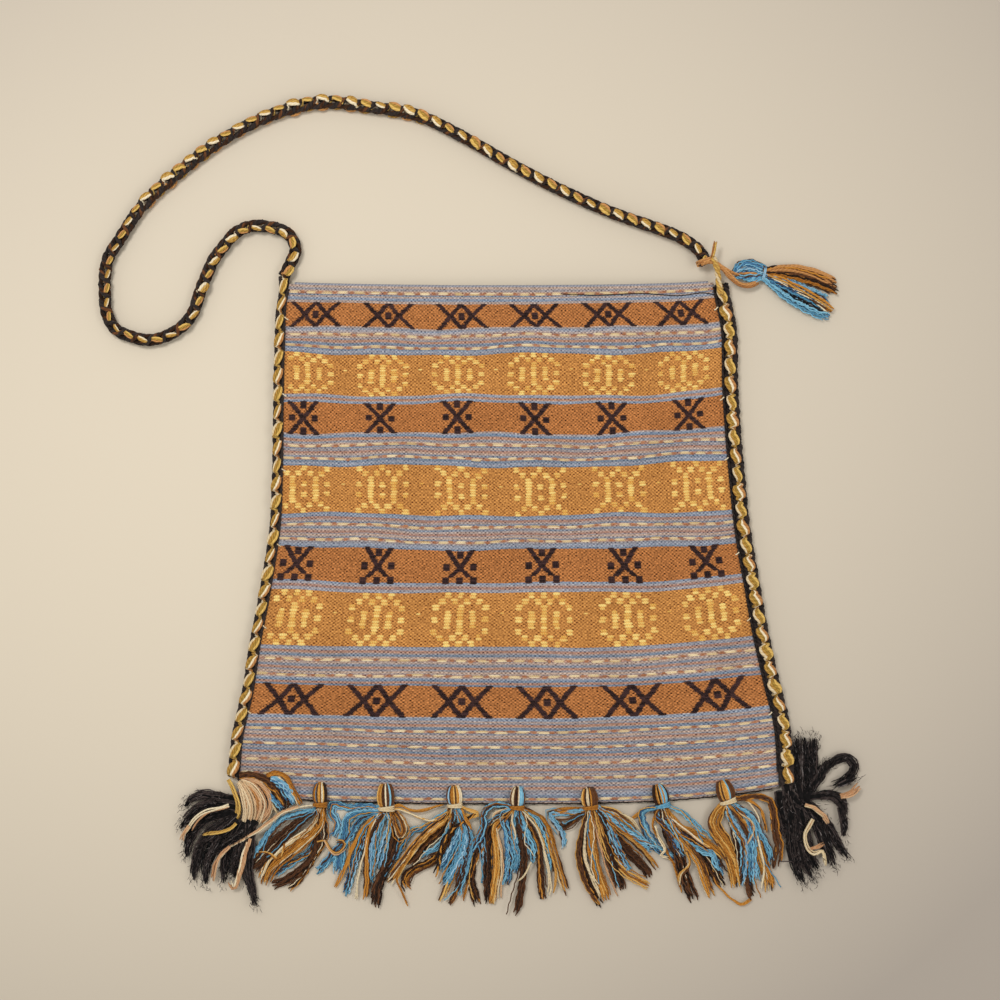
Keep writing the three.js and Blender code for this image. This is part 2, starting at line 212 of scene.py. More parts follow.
# Tails of each tassel, left to right, from the lowest to the topmost
TAILS = (routes("""
blue 5 318,808 318,830 310,850 298,858 285,866 273,874
brown 7 324,808 326,826 324,842 312,862 303,875 295,884 287,891
brown 7 320,810 316,848 308,862 295,873 282,881 270,886
brown 9 318,808 308,815 295,823 280,835 268,846 256,857 249,870
blue 7 317,808 300,812 285,817 275,826 266,838 258,850 253,858
brown 6 316,810 305,820 290,834 275,850 262,862 252,872
ochre 9 322,806 317,822 308,832 295,841 283,850 272,862 266,874 264,884
ochre 9 325,806 324,818 317,830 302,844 285,857 273,868 266,882
cream 2 324,808 322,826 306,842 288,856 273,868 266,884
ochre 3 286,842 284,852 278,858 270,853 262,852 257,853
cream 0 316,803 300,806 287,809 277,817 262,828 250,834 240,838 228,847
"""), routes("""
blue 8 384,808 368,805 352,807 342,806 334,804 332,812 338,824 331,838
blue 9 380,810 362,812 348,818 345,832 341,850 338,874
blue 8 378,811 360,820 350,836 336,850 326,862 316,872
blue 8 382,812 368,828 360,848 354,866 349,884 346,896
ochre 4 376,812 362,830 352,850 346,868 340,880 335,890
brown 9 390,812 395,828 394,842 390,856 384,872 378,888 376,907
brown 8 392,812 398,834 394,852 386,868 378,884 374,898
brown 6 384,812 372,830 368,850 368,872 369,896
blue 9 386,812 378,830 374,845 372,862 371,882
blue 8 388,812 391,822 387,836 383,850 377,868
cream 3 379,812 370,830 366,845 361,862 357,880 355,901
ochre 4 382,811 373,822 368,840 368,865 368,885 365,902
ochre 4 392,808 396,804 402,804 412,809 424,809 438,806 447,806
ochre 3 390,811 398,808 410,812 420,817 430,820 440,818 448,812
ochre 5 391,808 394,818 397,827 401,835 405,828 402,818 396,809 391,806
ochre 3 318,840 326,838 331,846 338,850 345,844 342,840 334,842
cream 0 325,838 330,848 337,853 346,847
"""), routes("""
brown 7 452,806 446,820 440,832 428,842 415,858 405,866
brown 7 453,808 450,834 436,857 424,865 412,870 405,880 408,890
blue 7 448,810 425,826 412,831 405,841 398,853 391,862 386,868
blue 6 454,808 450,824 444,837 436,848 426,853 420,857
brown 6 458,808 466,830 466,852 462,872 453,895 446,905
ochre 5 456,808 462,830 460,852 452,876 446,890 441,904
blue 10 455,806 462,822 458,838 452,850 447,860 440,870
blue 11 457,806 465,828 463,846 457,860 449,874 443,884
blue 8 458,808 469,830 468,850 464,866 460,880 456,894
blue 5 455,805 452,815 449,826
ochre 8 451,806 448,814 438,822 428,830 415,845 406,857 397,869 388,882
ochre 7 450,808 446,817 433,827 419,840 410,853 401,867 393,880
cream 3 448,812 434,826 417,841 405,858 393,874 383,884
ochre 3 404,862 397,876 401,888 408,905
brown 4 477,811 465,820 453,828 445,838 441,850 440,862 436,876
ochre 4 459,804 468,808 478,812 470,815 462,812
ochre 3 461,806 466,818 470,826 470,834
"""), routes("""
brown 9 510,808 486,830 476,848 472,866 471,882 478,905
blue 5 510,808 484,826 482,840 484,856 485,872 483,886
ochre 4 512,810 482,850 472,872 465,890 462,903
brown 7 512,808 494,822 489,840 488,860 488,880 489,906
ochre 8 513,808 495,824 496,845 497,866 494,886 491,906
cream 3 512,806 494,813 497,830 501,850 502,870 499,890 500,907
blue 9 514,806 500,803 489,806 483,814 483,826 478,838 469,850 456,868
blue 10 514,806 504,814 507,828 509,842 510,856 508,872 506,884
blue 8 515,807 512,826 514,842 516,858 513,872
brown 7 519,808 520,830 524,852 523,870 521,886 518,902 515,915
brown 9 520,807 528,820 535,832 540,846 541,863 542,882 545,901
blue 6 521,806 535,816 542,828 546,842 550,858 552,874
blue 9 519,806 522,820 527,835 532,849 531,862
ochre 6 522,806 541,816 549,830 553,845 558,862 563,880 569,897
ochre 3 546,832 551,852 556,873 554,892
cream 2 521,808 533,821 541,835 545,851 549,869 551,885 548,898
cream 2 515,806 512,818 515,832 513,846
cream 0 531,860 527,868 520,876 513,880
"""), routes("""
blue 6 586,808 562,814 550,813 555,822 562,831 564,842 562,849
brown 6 586,810 575,818 565,826 557,822
ochre 6 586,808 573,810 562,811 552,813
ochre 3 585,812 575,816 566,819 556,818
brown 9 586,808 582,834 580,852 583,870 588,885 595,897 600,907
brown 10 594,806 603,830 607,845 612,860 618,875 622,889
brown 9 596,807 618,838 626,848 636,858 645,867 650,876
ochre 6 594,808 608,850 622,868 635,877 652,886
blue 6 587,808 587,820 587,831 589,843
ochre 9 590,808 592,830 594,850 597,868 602,883 608,902
ochre 5 588,808 588,840 591,862 598,882 605,900
cream 3 590,810 596,828 601,848 606,867 613,884 619,898
cream 2 586,820 584,850 589,870 596,886 602,900
blue 8 597,806 608,815 612,828 616,842 622,855 628,869
blue 9 597,805 606,812 618,822 630,832 645,842 656,849
ochre 6 600,806 615,810 626,819 636,829
cream 2 612,809 626,814 634,821 640,831
ochre 5 606,818 620,830 633,841 645,853 656,868
"""), routes("""
blue 9 656,806 642,812 646,830 655,845 666,853 681,859
ochre 4 658,806 650,808 640,813 631,819
brown 9 662,806 672,822 684,835 694,845 703,856 710,866 716,876 723,889
brown 10 660,806 666,832 677,852 682,868 687,885 694,901
brown 7 661,808 668,824 670,840 676,856
ochre 4 656,808 652,826 660,840 666,851 673,864 678,879 681,892
blue 9 668,822 700,848 712,852 716,862 724,873
ochre 9 664,808 676,830 688,846 697,860 702,872 706,885 711,896
ochre 6 665,806 674,818 683,827 693,831 706,842 716,850 726,861
blue 9 659,806 656,814 664,823 671,834 677,846 685,858
blue 7 662,806 668,818 674,830 682,842 687,856
blue 5 666,804 680,811 691,821 701,832 709,841
cream 3 654,824 658,836 664,848 660,854 671,857
cream 2 662,808 678,822 695,836 712,850
ochre 4 685,850 688,862 680,872 679,884
"""), routes("""
brown 7 724,802 730,818 735,835 738,850 739,868 739,887
brown 7 728,802 746,830 748,856 747,880 752,899
ochre 4 712,866 716,882 725,892 733,899 741,903 751,898
ochre 8 728,802 750,826 758,845 762,860 766,875 768,891
ochre 6 730,802 754,830 762,850 768,870 773,888
blue 10 724,802 730,816 738,830 744,842 745,856 743,872 741,885
blue 10 728,802 745,813 751,824 753,838 752,852 753,870 754,884
blue 7 731,801 752,815 759,829 765,841 769,851 771,863
ochre 10 722,802 714,812 711,821 714,831 722,843 729,856 733,870 736,886
ochre 5 724,803 720,814 718,824 727,838 732,852 736,868
cream 2 729,802 738,811 748,818 753,826 750,836 745,846 746,863
cream 2 733,800 744,799 752,806 758,816 760,828
ochre 4 733,799 746,799 757,806 762,818 764,832
brown 7 732,798 744,796 756,795 768,799 772,812 774,830 778,846 774,868
cream 2 756,834 760,852 763,870 761,888
"""))

# Fluffy locks of the corner tassels, then the paler strands among them
LEFT_LOCKS = routes("""
charcoal 11 240,798 220,796 205,794 193,797 186,806
charcoal 12 238,806 215,804 200,809 189,818 181,828
charcoal 12 238,812 212,816 198,825 190,838 187,856
charcoal 10 238,818 215,827 205,839 199,854 194,879
charcoal 11 240,820 222,834 213,848 207,864 206,883
charcoal 10 244,820 232,838 226,856 224,882
charcoal 10 248,820 241,842 237,860 236,877
charcoal 11 254,818 251,845 248,868 252,886 257,904
charcoal 11 258,820 244,832 228,842 216,852
charcoal 11 238,812 222,824 208,836 200,846
charcoal 10 250,818 246,838 240,856 230,872
""")
LEFT_PALE_STRANDS = routes("""
cream 4 231,803 221,806 209,809 198,816 192,823 188,830
peach 4 192,824 187,831 184,839
gold 3 238,821 233,826 225,829 212,831 201,834
cream 4 300,805 284,810 273,819 260,828 245,837 232,844 227,846
peach 5 232,844 222,854 216,866 213,879
peach 5 250,840 245,855 242,868 239,879 235,886 231,880
peach 3 252,836 247,852 244,866 240,878
""")
RIGHT_LOCKS = routes("""
charcoal 15 778,790 780,808 785,826 791,842
charcoal 14 784,782 790,800 796,820 800,838
charcoal 13 800,800 798,780 797,760 796,738
charcoal 13 804,800 804,780 804,760 804,737
charcoal 13 806,800 810,780 811,760 814,738
charcoal 12 806,796 816,778 824,764 826,760
charcoal 9 812,784 826,766 836,759 846,757 852,763 852,771 846,777 832,785
charcoal 12 808,796 822,794 834,796 841,804 842,820
charcoal 11 806,800 818,812 828,826 838,844 847,857
charcoal 11 806,802 818,820 826,840 834,864
charcoal 10 804,806 814,824 822,844 828,862
charcoal 12 792,802 790,826 792,850 797,868 803,881
charcoal 12 796,806 797,830 800,850 806,866 811,877
charcoal 11 800,808 804,832 808,852 817,868
charcoal 13 788,790 796,800 808,806 818,808
charcoal 8 788,784 789,800 794,814 804,822
charcoal 7 838,806 842,820 843,835
charcoal 6 836,784 848,780 856,777
""")
RIGHT_PALE_STRANDS = routes("""
peach 6 838,794 848,791 858,785
peach 6 803,802 813,806 822,813 828,821
cream 5 811,817 807,824 803,833 805,845 812,851 820,849 823,857 823,867
peach 4 808,846 815,844 822,841
charcoal 1 778,858 786,859 793,860
""")

# The pale bundle beside the left corner, and the yarns that arch over it
PALE_BUNDLE = routes("""
peach 6 244,776 258,779 268,788 272,800 269,812 262,822
pale 6 243,777 255,782 263,791 266,802 263,813 257,823
peach 6 242,778 251,785 258,794 260,804 257,814 252,824
pale 7 241,779 248,787 252,796 254,806 252,816 248,825
pale 6 240,781 244,789 247,798 248,808 246,818 243,826
peach 3 246,778 257,785 263,796 264,808 259,820
tan 2 245,779 254,786 259,796 260,808 255,821
gold 7 230,778 236,789 240,800 240,811 236,820
""")
CORNER_ARCHES = routes("""
brown 7 241,774 252,773 263,776 272,783 280,793 285,801 284,808
blue 7 262,782 269,791 276,800 283,808
brown 6 272,784 279,794 284,806
blue 9 272,778 281,781 288,790 294,803
cream 2 262,782 268,793 274,804 279,815
ochre 5 268,774 278,771 287,775 293,785 299,797 302,803
cream 2 272,776 280,775 288,783 294,793 299,804
""")

# The small tassel at the strap's end: the cords it hangs on, its head and its tail
STRAP_TASSEL_CORDS = routes("""
tan 4 697,265 703,263 711,264 718,269 725,275 733,283 741,287 749,287 757,283
tan 3 699,267 706,264 714,265 721,271 728,279 737,284 746,285 756,282
tan 3 711,261 717,266 724,270 731,273 739,275
""")
STRAP_TASSEL_HEAD = routes("""
blue 6 734,273 737,267 745,264 755,266 764,272
charcoal 2 738,265 747,262 757,265 764,271
blue 6 733,274 740,271 750,270 764,274
blue 6 734,276 742,277 752,277 764,276
blue 5 742,280 751,281 758,280 764,278
tan 2 738,274 750,274 764,275
""")
STRAP_TASSEL_TAIL = routes("""
brown 9 762,272 778,269 796,271 815,277 834,284
tan 7 762,272 780,267 800,268 820,274 836,283
brown 9 762,274 780,275 800,279 818,284 837,293
ochre 4 764,274 790,275 812,281 834,290
tan 4 764,273 788,271 812,277 836,287
blue 8 762,275 778,279 796,285 812,292 829,300
charcoal 4 762,277 778,286 796,298 812,306 826,311
blue 9 762,279 773,288 786,298 801,306 817,313 829,316
blue 6 762,277 776,284 790,291 806,298 822,306
ochre 8 763,275 778,280 791,287 806,295 820,304 831,312
cream 2 764,276 780,283 795,291 812,300 830,313
""")


# Finishes

# Colours of the ground cloth: painted shade in the hollows of the weave and lit colour on its crests
CLOTH_COLOURS = {
    "cool stripe": ((60, 82, 112), (188, 206, 226)),
    "warm stripe": ((104, 78, 66), (242, 214, 194)),
    "rib shade": ((210, 210, 212), (255, 255, 255)),
    "blue line": ((30, 68, 118), (180, 208, 232)),
    "rust line": ((80, 34, 18), (232, 174, 140)),
    "rust band": ((40, 8, 2), (240, 158, 92)),
    "ochre band": ((84, 24, 4), (255, 182, 100)),
    "slow shade": ((218, 214, 210), (255, 255, 255)),
}
WARP_STEP = 1.3
PICK_STEP = 1.0
RIB_STEP = 2.9

# Yarn finishes: colour with painted shade in the hollows, colour with painted highlight on the crests and
# length of one turn of the plies
YARN_COLOURS = {
    "blue": ((58, 120, 154), (148, 206, 228), 3.0),
    "pale blue": ((112, 160, 190), (184, 216, 232), 3.0),
    "deep blue": ((28, 66, 102), (86, 142, 186), 3.0),
    "brown": ((38, 19, 9), (112, 70, 40), 3.0),
    "dark brown": ((18, 10, 6), (62, 38, 22), 3.0),
    "light ochre": ((178, 120, 46), (238, 192, 110), 2.4),
    # Near-black serves black wool and the painted shade inside the corner locks; light grey is painted
    # highlight on that wool
    "soot": ((2, 2, 2), (24, 20, 20), 4.0),
    "ash": ((70, 64, 64), (150, 140, 136), 4.0),
    "ochre": ((132, 74, 16), (214, 148, 60), 2.4),
    "cream": ((200, 172, 124), (250, 236, 204), 2.4),
    "peach": ((174, 120, 80), (226, 186, 142), 3.0),
    "pale": ((200, 164, 118), (246, 224, 186), 2.4),
    "gold": ((154, 108, 38), (236, 196, 108), 2.6),
    "tan": ((132, 78, 36), (214, 156, 94), 2.6),
    "old gold": ((112, 78, 24), (204, 166, 78), 2.6),
    "charcoal": ((6, 5, 5), (92, 78, 74), 4.0),
    "black": ((6, 5, 5), (60, 50, 46), 2.6),
    "hem": ((118, 122, 138), (204, 200, 198), 2.0),
    "yellow weft": ((214, 148, 56), (255, 228, 142), 1.4),
    "rust weft": ((150, 92, 58), (206, 148, 110), 1.4),
    "cream weft": ((194, 160, 104), (252, 234, 196), 1.4),
    "dark weft": ((7, 3, 3), (80, 54, 52), 1.4),
}
PLIES = 2

# Painted light on the floor: its colour where it is lightest, where it would be darkest, and how far it
# goes towards that
FLOOR_LIGHT = (232, 219, 196)
FLOOR_DARK = (150, 141, 134)
FLOOR_FALL = 0.8

# Sockets of the Mix node that take and give colours
MIX_FIRST = 6
MIX_SECOND = 7
MIX_COLOUR = 2


def linear(red, green, blue):
    """An sRGB colour of 0 to 255 as the linear colour that a shader takes."""
    parts = np.array([red, green, blue]) / 255.0
    low = parts / 12.92
    high = ((parts + 0.055) / 1.055) ** 2.4
    return (*np.where(parts <= 0.04045, low, high).tolist(), 1.0)


class Wire:
    """A value in a finish's node tree, with arithmetic that adds Math nodes."""

    def __init__(self, finish, socket):
        self.finish = finish
        self.socket = socket

    def math(self, operation, *others):
        values = dict(enumerate((self, *others)))
        return self.finish.node("ShaderNodeMath", {"operation": operation}, values)

    def __add__(self, other):
        return self.math("ADD", other)

    def __radd__(self, other):
        return self.math("ADD", other)

    def __sub__(self, other):
        return self.math("SUBTRACT", other)

    def __rsub__(self, other):
        return (self * -1.0).math("ADD", other)

    def __mul__(self, other):
        return self.math("MULTIPLY", other)

    def __rmul__(self, other):
        return self.math("MULTIPLY", other)

    def __truediv__(self, other):
        return self.math("DIVIDE", other)

    def sine(self):
        return self.math("SINE")

    def floor(self):
        return self.math("FLOOR")

    def between(self, low=0.0, high=1.0):
        return self.math("MAXIMUM", low).math("MINIMUM", high)


class Finish:
    """One material: a principled surface whose colour and relief come from nodes."""

    def __init__(self, name, roughness, sheen, specular):
        self.material = bpy.data.materials.new(name)
        self.material.use_nodes = True
        self.tree = self.material.node_tree
        self.surface = self.tree.nodes["Principled BSDF"]
        self.surface.inputs["Roughness"].default_value = roughness
        self.surface.inputs["Sheen Weight"].default_value = sheen
        self.surface.inputs["Sheen Roughness"].default_value = 0.5
        self.surface.inputs["Specular IOR Level"].default_value = specular

    def node(self, kind, settings=None, values=None, output=0):
        made = self.tree.nodes.new(kind)
        for key, value in (settings or {}).items():
            setattr(made, key, value)
        for key, value in (values or {}).items():
            self.feed(made.inputs[key], value)
        return Wire(self, made.outputs[output])

    def feed(self, socket, value):
        if isinstance(value, Wire):
            self.tree.links.new(value.socket, socket)
        else:
            socket.default_value = value

    def mix(self, first, second, share, blend="MIX"):
        settings = {"data_type": "RGBA", "blend_type": blend}
        values = {"Factor": share, MIX_FIRST: first, MIX_SECOND: second}
        return self.node("ShaderNodeMix", settings, values, MIX_COLOUR)

    def times(self, first, second):
        return self.mix(first, second, 1.0, "MULTIPLY")

    def split(self, vector):
        made = self.node("ShaderNodeSeparateXYZ", None, {0: vector})
        return [Wire(self, output) for output in made.socket.node.outputs]

    def join(self, x, y):
        return self.node("ShaderNodeCombineXYZ", None, {0: x, 1: y})

    def cloth_place(self):
        """Millimetres across and along the loom on cloth; turns round and millimetres along on yarn."""
        place = self.node("ShaderNodeUVMap", {"uv_map": "place"})
        return self.split(place)[:2]

    def speckle(self, x, y):
        """A value of 0 to 1 for each whole step of x and y."""
        place = self.join(x.floor(), y.floor())
        return self.node("ShaderNodeTexWhiteNoise", {"noise_dimensions": "2D"}, {"Vector": place})

    def noise(self, vector, scale, detail):
        values = {"Vector": vector, "Scale": scale, "Detail": detail}
        return self.node("ShaderNodeTexNoise", None, values)

    def relief(self, height, strength, depth):
        values = {"Height": height, "Strength": strength, "Distance": depth * MM}
        self.feed(self.surface.inputs["Normal"], self.node("ShaderNodeBump", None, values))

    def colour(self, value):
        self.feed(self.surface.inputs["Base Color"], value)
        return self.material


def woven_finish():
    """Plain-woven wool: rust and ochre bands, and blue-grey stripes with thin rust and blue lines."""
    finish = Finish("woven_wool", roughness=0.95, sheen=0.06, specular=0.08)
    across, down = finish.cloth_place()
    band = {"attribute_name": "band"}
    rust, ochre, line = finish.split(finish.node("ShaderNodeAttribute", band))
    blue = finish.node("ShaderNodeAttribute", band, output="Alpha")
    # The weave's height: it shapes the relief and the painted shade in the weave's hollows; grip and grain
    # add random tone.
    lobe = (across * (math.pi / WARP_STEP)).sine() * (down * (math.pi / PICK_STEP)).sine()
    grip = finish.speckle(across / WARP_STEP, down / PICK_STEP)
    grain = finish.noise(finish.join(across * 0.8, down), scale=1.0, detail=2.0)
    wool = (lobe * grip * 0.5 + (grain - 0.5) * 1.2 + 0.5).between()
    weft = finish.speckle(down / (2 * PICK_STEP), down * 0.0)
    streak = finish.noise(finish.join(across * 0.06, down * 0.8), scale=1.0, detail=2.0)
    streak = ((streak - 0.5) * 2.0 + 0.5).between()
    drift = finish.noise(finish.join(across, down), scale=0.03, detail=3.0)
    ragged = finish.noise(finish.join(across * 0.5, down), scale=1.0, detail=1.0)
    ragged = (ragged - 0.5) * 0.9
    ribs = (down * (TURN / RIB_STEP)).sine() * 0.5 + 0.5

    # Each colour runs from painted shade in the weave's hollows to lit colour on its crests.
    def tinted(name, share):
        shaded_hollow, lit_crest = CLOTH_COLOURS[name]
        return finish.mix(linear(*shaded_hollow), linear(*lit_crest), share)

    def ragged_band(share):
        return ((share + ragged - 0.5) * 3.0 + 0.5).between()

    lined = (weft * 0.6 + streak * 0.4 + ribs * 0.7 - 0.35).between()
    blue_share = (blue * 0.9 + ragged - 0.1).between() * 0.55
    line_share = (line * 1.1 + ragged - 0.15).between() * 0.8
    stripes = finish.mix(tinted("cool stripe", wool), tinted("warm stripe", wool), lined)
    # Painted shade in the grooves between the weft ribs, with a random tone for each weft row.
    stripes = finish.times(stripes, tinted("rib shade", ribs * 0.55 + weft * 0.45))
    stripes = finish.mix(stripes, tinted("blue line", wool), blue_share)
    stripes = finish.mix(stripes, tinted("rust line", wool), line_share)
    colour = finish.mix(stripes, tinted("rust band", wool), ragged_band(rust))
    colour = finish.mix(colour, tinted("ochre band", wool), ragged_band(ochre))
    finish.relief(wool, strength=0.3, depth=0.4)
    return finish.colour(finish.times(colour, tinted("slow shade", drift)))


def yarn_finish(name, shaded_hollow, lit_crest, ply):
    """Spun yarn: plies that wind round it, fine fibres along it and a tone of its own for each strand. Its
    colour is painted shade in the grooves between the plies and painted highlight on their crests.
    """
    finish = Finish(name, roughness=0.88, sheen=0.06, specular=0.15)
    around, along = finish.cloth_place()
    strand = finish.speckle(around, around * 0.0)
    winding = ((around * PLIES + along / ply) * TURN).sine() * 0.5 + 0.5
    fibres = finish.noise(finish.join(around * 9.0, along * 0.5), scale=1.0, detail=3.0)
    # Painted shade and highlight: the winding darkens the grooves between the plies and lightens their
    # crests; fibres and strand add random tone.
    tone = (winding * 0.35 + fibres * 0.6 + strand * 0.6 - 0.28).between()
    finish.relief(winding * 0.75 + fibres * 0.4, strength=0.6, depth=0.5)
    return finish.colour(finish.mix(linear(*shaded_hollow), linear(*lit_crest), tone))


def floor_finish():
    """A plain pale floor with painted light: its colour gets darker away from the window."""
    finish = Finish("pale_floor", roughness=0.9, sheen=0.0, specular=0.1)
    x, y, _ = finish.split(finish.node("ShaderNodeTexCoord", output="Object"))
    # Painted falloff of light across the floor
    far = x * 0.63 + x * x * 1.85 - y * 0.53 + y * y * 2.84 - x * y * 1.09 + 0.24
    share = far.between(0.0, FLOOR_FALL)
    return finish.colour(finish.mix(linear(*FLOOR_LIGHT), linear(*FLOOR_DARK), share))


FINISHES = {}


def finish_named(name):
    if name not in FINISHES:
        if name == "cloth":
            FINISHES[name] = woven_finish()
        elif name == "floor":
            FINISHES[name] = floor_finish()
        else:
            FINISHES[name] = yarn_finish(name.replace(" ", "_") + "_yarn", *YARN_COLOURS[name])
    return FINISHES[name]


# Meshes and lines


class Work:
    """Collects yarns and cloth grids, in millimetres, and makes them one mesh."""

    def __init__(self):
        self.points = []
        self.faces = []
        self.places = []
        self.slots = []
        self.count = 0
        self.yarns = 0

    def add(self, points, faces, places, finish):
        """Faces are rows of point numbers, and places a pair of coordinates for each of their corners."""
        points = np.asarray(points, float).reshape(-1, 3)
        self.points.append(points)
        self.add_faces(faces + self.count, places, finish)
        self.count += len(points)

    def add_faces(self, faces, places, finish):
        self.faces.append(faces)
        self.places.append(places)
        self.slots.append((finish, len(faces)))

    def grid(self, points, places, finish, closed=False):
        """A grid of rows and columns of points; closed joins its last column to its first."""
        rows, columns = points.shape[:2]
        number = np.arange(rows * columns).reshape(rows, columns)
        right = np.roll(number, -1, axis=1)
        place_right = np.roll(places, -1, axis=1)
        keep = columns if closed else columns - 1
        corners = (number[:-1], number[1:], right[1:], right[:-1])
        faces = np.stack([c[:, :keep] for c in corners], axis=-1).reshape(-1, 4)
        spots = (places[:-1], places[1:], place_right[1:], place_right[:-1])
        around = np.stack([s[:, :keep] for s in spots], axis=2).reshape(-1, 4, 2)
        self.add(points, faces, around, finish)

    def yarn(self, line, radius, finish, sides=6):
        """A round yarn along a line of points, with its radius at each of them."""
        line = np.asarray(line, float)
        count = len(line)
        tangent = directions(line)
        normal = carried_normal(tangent)
        binormal = np.cross(tangent, normal)
        radius = np.broadcast_to(np.asarray(radius, float), (count,))
        angle = TURN * np.arange(sides) / sides
        cosine = np.cos(angle)[None, :, None]
        sine = np.sin(angle)[None, :, None]
        spoke = normal[:, None] * cosine + binormal[:, None] * sine
        ring = line[:, None] + spoke * radius[:, None, None]
        along = length_along(line)
        number = np.arange(count * sides).reshape(count, sides)
        right = np.roll(number, -1, axis=1)
        faces = np.stack([number[:-1], right[:-1], right[1:], number[1:]], axis=-1).reshape(-1, 4)
        just_under_one = 0.9999
        shape = (count - 1, sides)
        turn = np.broadcast_to(self.yarns + np.arange(sides) / sides, shape)
        after = np.broadcast_to(self.yarns + (np.arange(sides) + 1) / sides * just_under_one, shape)
        low = np.broadcast_to(along[:-1, None], shape)
        high = np.broadcast_to(along[1:, None], shape)
        pairs = [(turn, low), (after, low), (after, high), (turn, high)]
        places = np.stack([np.stack(pair, axis=-1) for pair in pairs], axis=2).reshape(-1, 4, 2)
        start = self.count
        self.add(ring, faces, places, finish)
        ends = np.stack([number[0][::-1], number[-1]])
        spots = np.zeros((2, sides, 2))
        spots[..., 0] = self.yarns + 0.5
        spots[1, :, 1] = along[-1]
        self.add_faces(ends + start, spots, finish)
        self.yarns += 1

    def make(self, name):
        mesh = bpy.data.meshes.new(name)
        used = sorted({finish for finish, _ in self.slots})
        slots = np.concatenate([np.full(count, used.index(finish)) for finish, count in self.slots])
        points = np.concatenate(self.points) * MM
        corners = np.concatenate([f.ravel() for f in self.faces])
        sizes = np.concatenate([np.full(len(f), f.shape[1]) for f in self.faces])
        mesh.vertices.add(len(points))
        mesh.vertices.foreach_set("co", points.ravel())
        mesh.loops.add(len(corners))
        mesh.loops.foreach_set("vertex_index", corners)
        mesh.polygons.add(len(sizes))
        mesh.polygons.foreach_set("loop_start", np.concatenate([[0], np.cumsum(sizes)[:-1]]))
        mesh.polygons.foreach_set("material_index", slots)
        mesh.polygons.foreach_set("use_smooth", np.ones(len(sizes), bool))
        mesh.update(calc_edges=True)
        layer = mesh.uv_layers.new(name="place")
        layer.data.foreach_set("uv", np.concatenate([p.ravel() for p in self.places]))
        for finish in used:
            mesh.materials.append(finish_named(finish))
        mesh.validate()
        piece = bpy.data.objects.new(name, mesh)
        bpy.context.scene.collection.objects.link(piece)
        return piece


def length_along(line):
    """Length along a line of points, from its start to each of them."""
    return np.concatenate([[0.0], np.cumsum(np.linalg.norm(np.diff(line, axis=0), axis=1))])


def unit(vectors):
    return vectors / np.linalg.norm(vectors, axis=1, keepdims=True)


def directions(line):
    return unit(np.gradient(line, axis=0))


def carried_normal(tangent):
    """A direction across a line that turns no more than the line does."""
    normal = np.empty_like(tangent)
    first = np.cross(tangent[0], (0.0, 0.0, 1.0))
    if np.linalg.norm(first) < 0.1:
        first = np.cross(tangent[0], (1.0, 0.0, 0.0))
    normal[0] = first / np.linalg.norm(first)
    for i in range(1, len(tangent)):
        step = normal[i - 1] - tangent[i] * np.dot(normal[i - 1], tangent[i])
        normal[i] = step / np.linalg.norm(step)
    return normal


def smooth_line(points, spacing):
    """A smooth curve through points, as points about spacing apart."""
    points = np.asarray(points, float)
    ends = np.concatenate([[2 * points[0] - points[1]], points, [2 * points[-1] - points[-2]]])
    t = np.linspace(0.0, 1.0, 16, endpoint=False)[:, None]
    parts = []
    for a, b, c, d in zip(ends, ends[1:], ends[2:], ends[3:]):
        square = 2 * a - 5 * b + 4 * c - d
        cube = 3 * b - 3 * c + d - a
        parts.append(0.5 * (2 * b + (c - a) * t + square * t**2 + cube * t**3))
    fine = np.concatenate([*parts, points[-1:]])
    along = length_along(fine)
    steps = max(2, int(round(along[-1] / spacing)) + 1)
    wanted = np.linspace(0.0, along[-1], steps)
    return np.stack([np.interp(wanted, along, column) for column in fine.T], axis=-1)


def smoothstep(value, low, high):
    t = np.clip((value - low) / (high - low), 0.0, 1.0)
    return t * t * (3 - 2 * t)


def dress(piece, slot, *nodes):
    """Every piece rides on the one body and stands for its solids; its slot is not used."""
    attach(piece, "root")
    if nodes:
        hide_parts(*nodes)
    return piece


# The woven pouch

# Waves of the cloth: size, turns across a row and length down the cloth
ROW_WAVES = ((0.9, 1.7, 140), (0.6, 3.3, -62), (0.35, 6.1, 37))
DOME_WAVES = ((0.7, 1.6, 190), (0.5, -0.8, 95))
PUCKERS = (((0.28, 7.3, 71),), ((1.0, -2.1, 43),))
DOME_POWER = 2.4
LINE_HALF = 0.8
BLUE_LINE_HALF = 0.9
FRONT_COLUMNS = 96
BACK_COLUMNS = 32
INNER_ROWS = 40


def outline_at(column, drop):
    """One column of the outline at a level, as a smooth curve through the table's rows."""
    levels, values = OUTLINE["drop"], OUTLINE[column]
    drop = np.asarray(drop, float)
    i = np.clip(np.searchsorted(levels, drop) - 1, 0, len(levels) - 2)
    before = np.maximum(np.arange(len(levels)) - 1, 0)
    after = np.minimum(np.arange(len(levels)) + 1, len(levels) - 1)
    slope = (values[after] - values[before]) / (levels[after] - levels[before])
    span = levels[i + 1] - levels[i]
    t = np.clip((drop - levels[i]) / span, 0.0, 1.0)
    return (
        (2 * t**3 - 3 * t**2 + 1) * values[i]
        + (t**3 - 2 * t**2 + t) * span * slope[i]
        + (3 * t**2 - 2 * t**3) * values[i + 1]
        + (t**3 - t**2) * span * slope[i + 1]
    )


def cloth_width(drop):
    return outline_at("right", drop) - outline_at("left", drop)


def waved(u, drop, waves):
    return sum(size * np.sin(TURN * (turns * u + drop / length)) for size, turns, length in waves)


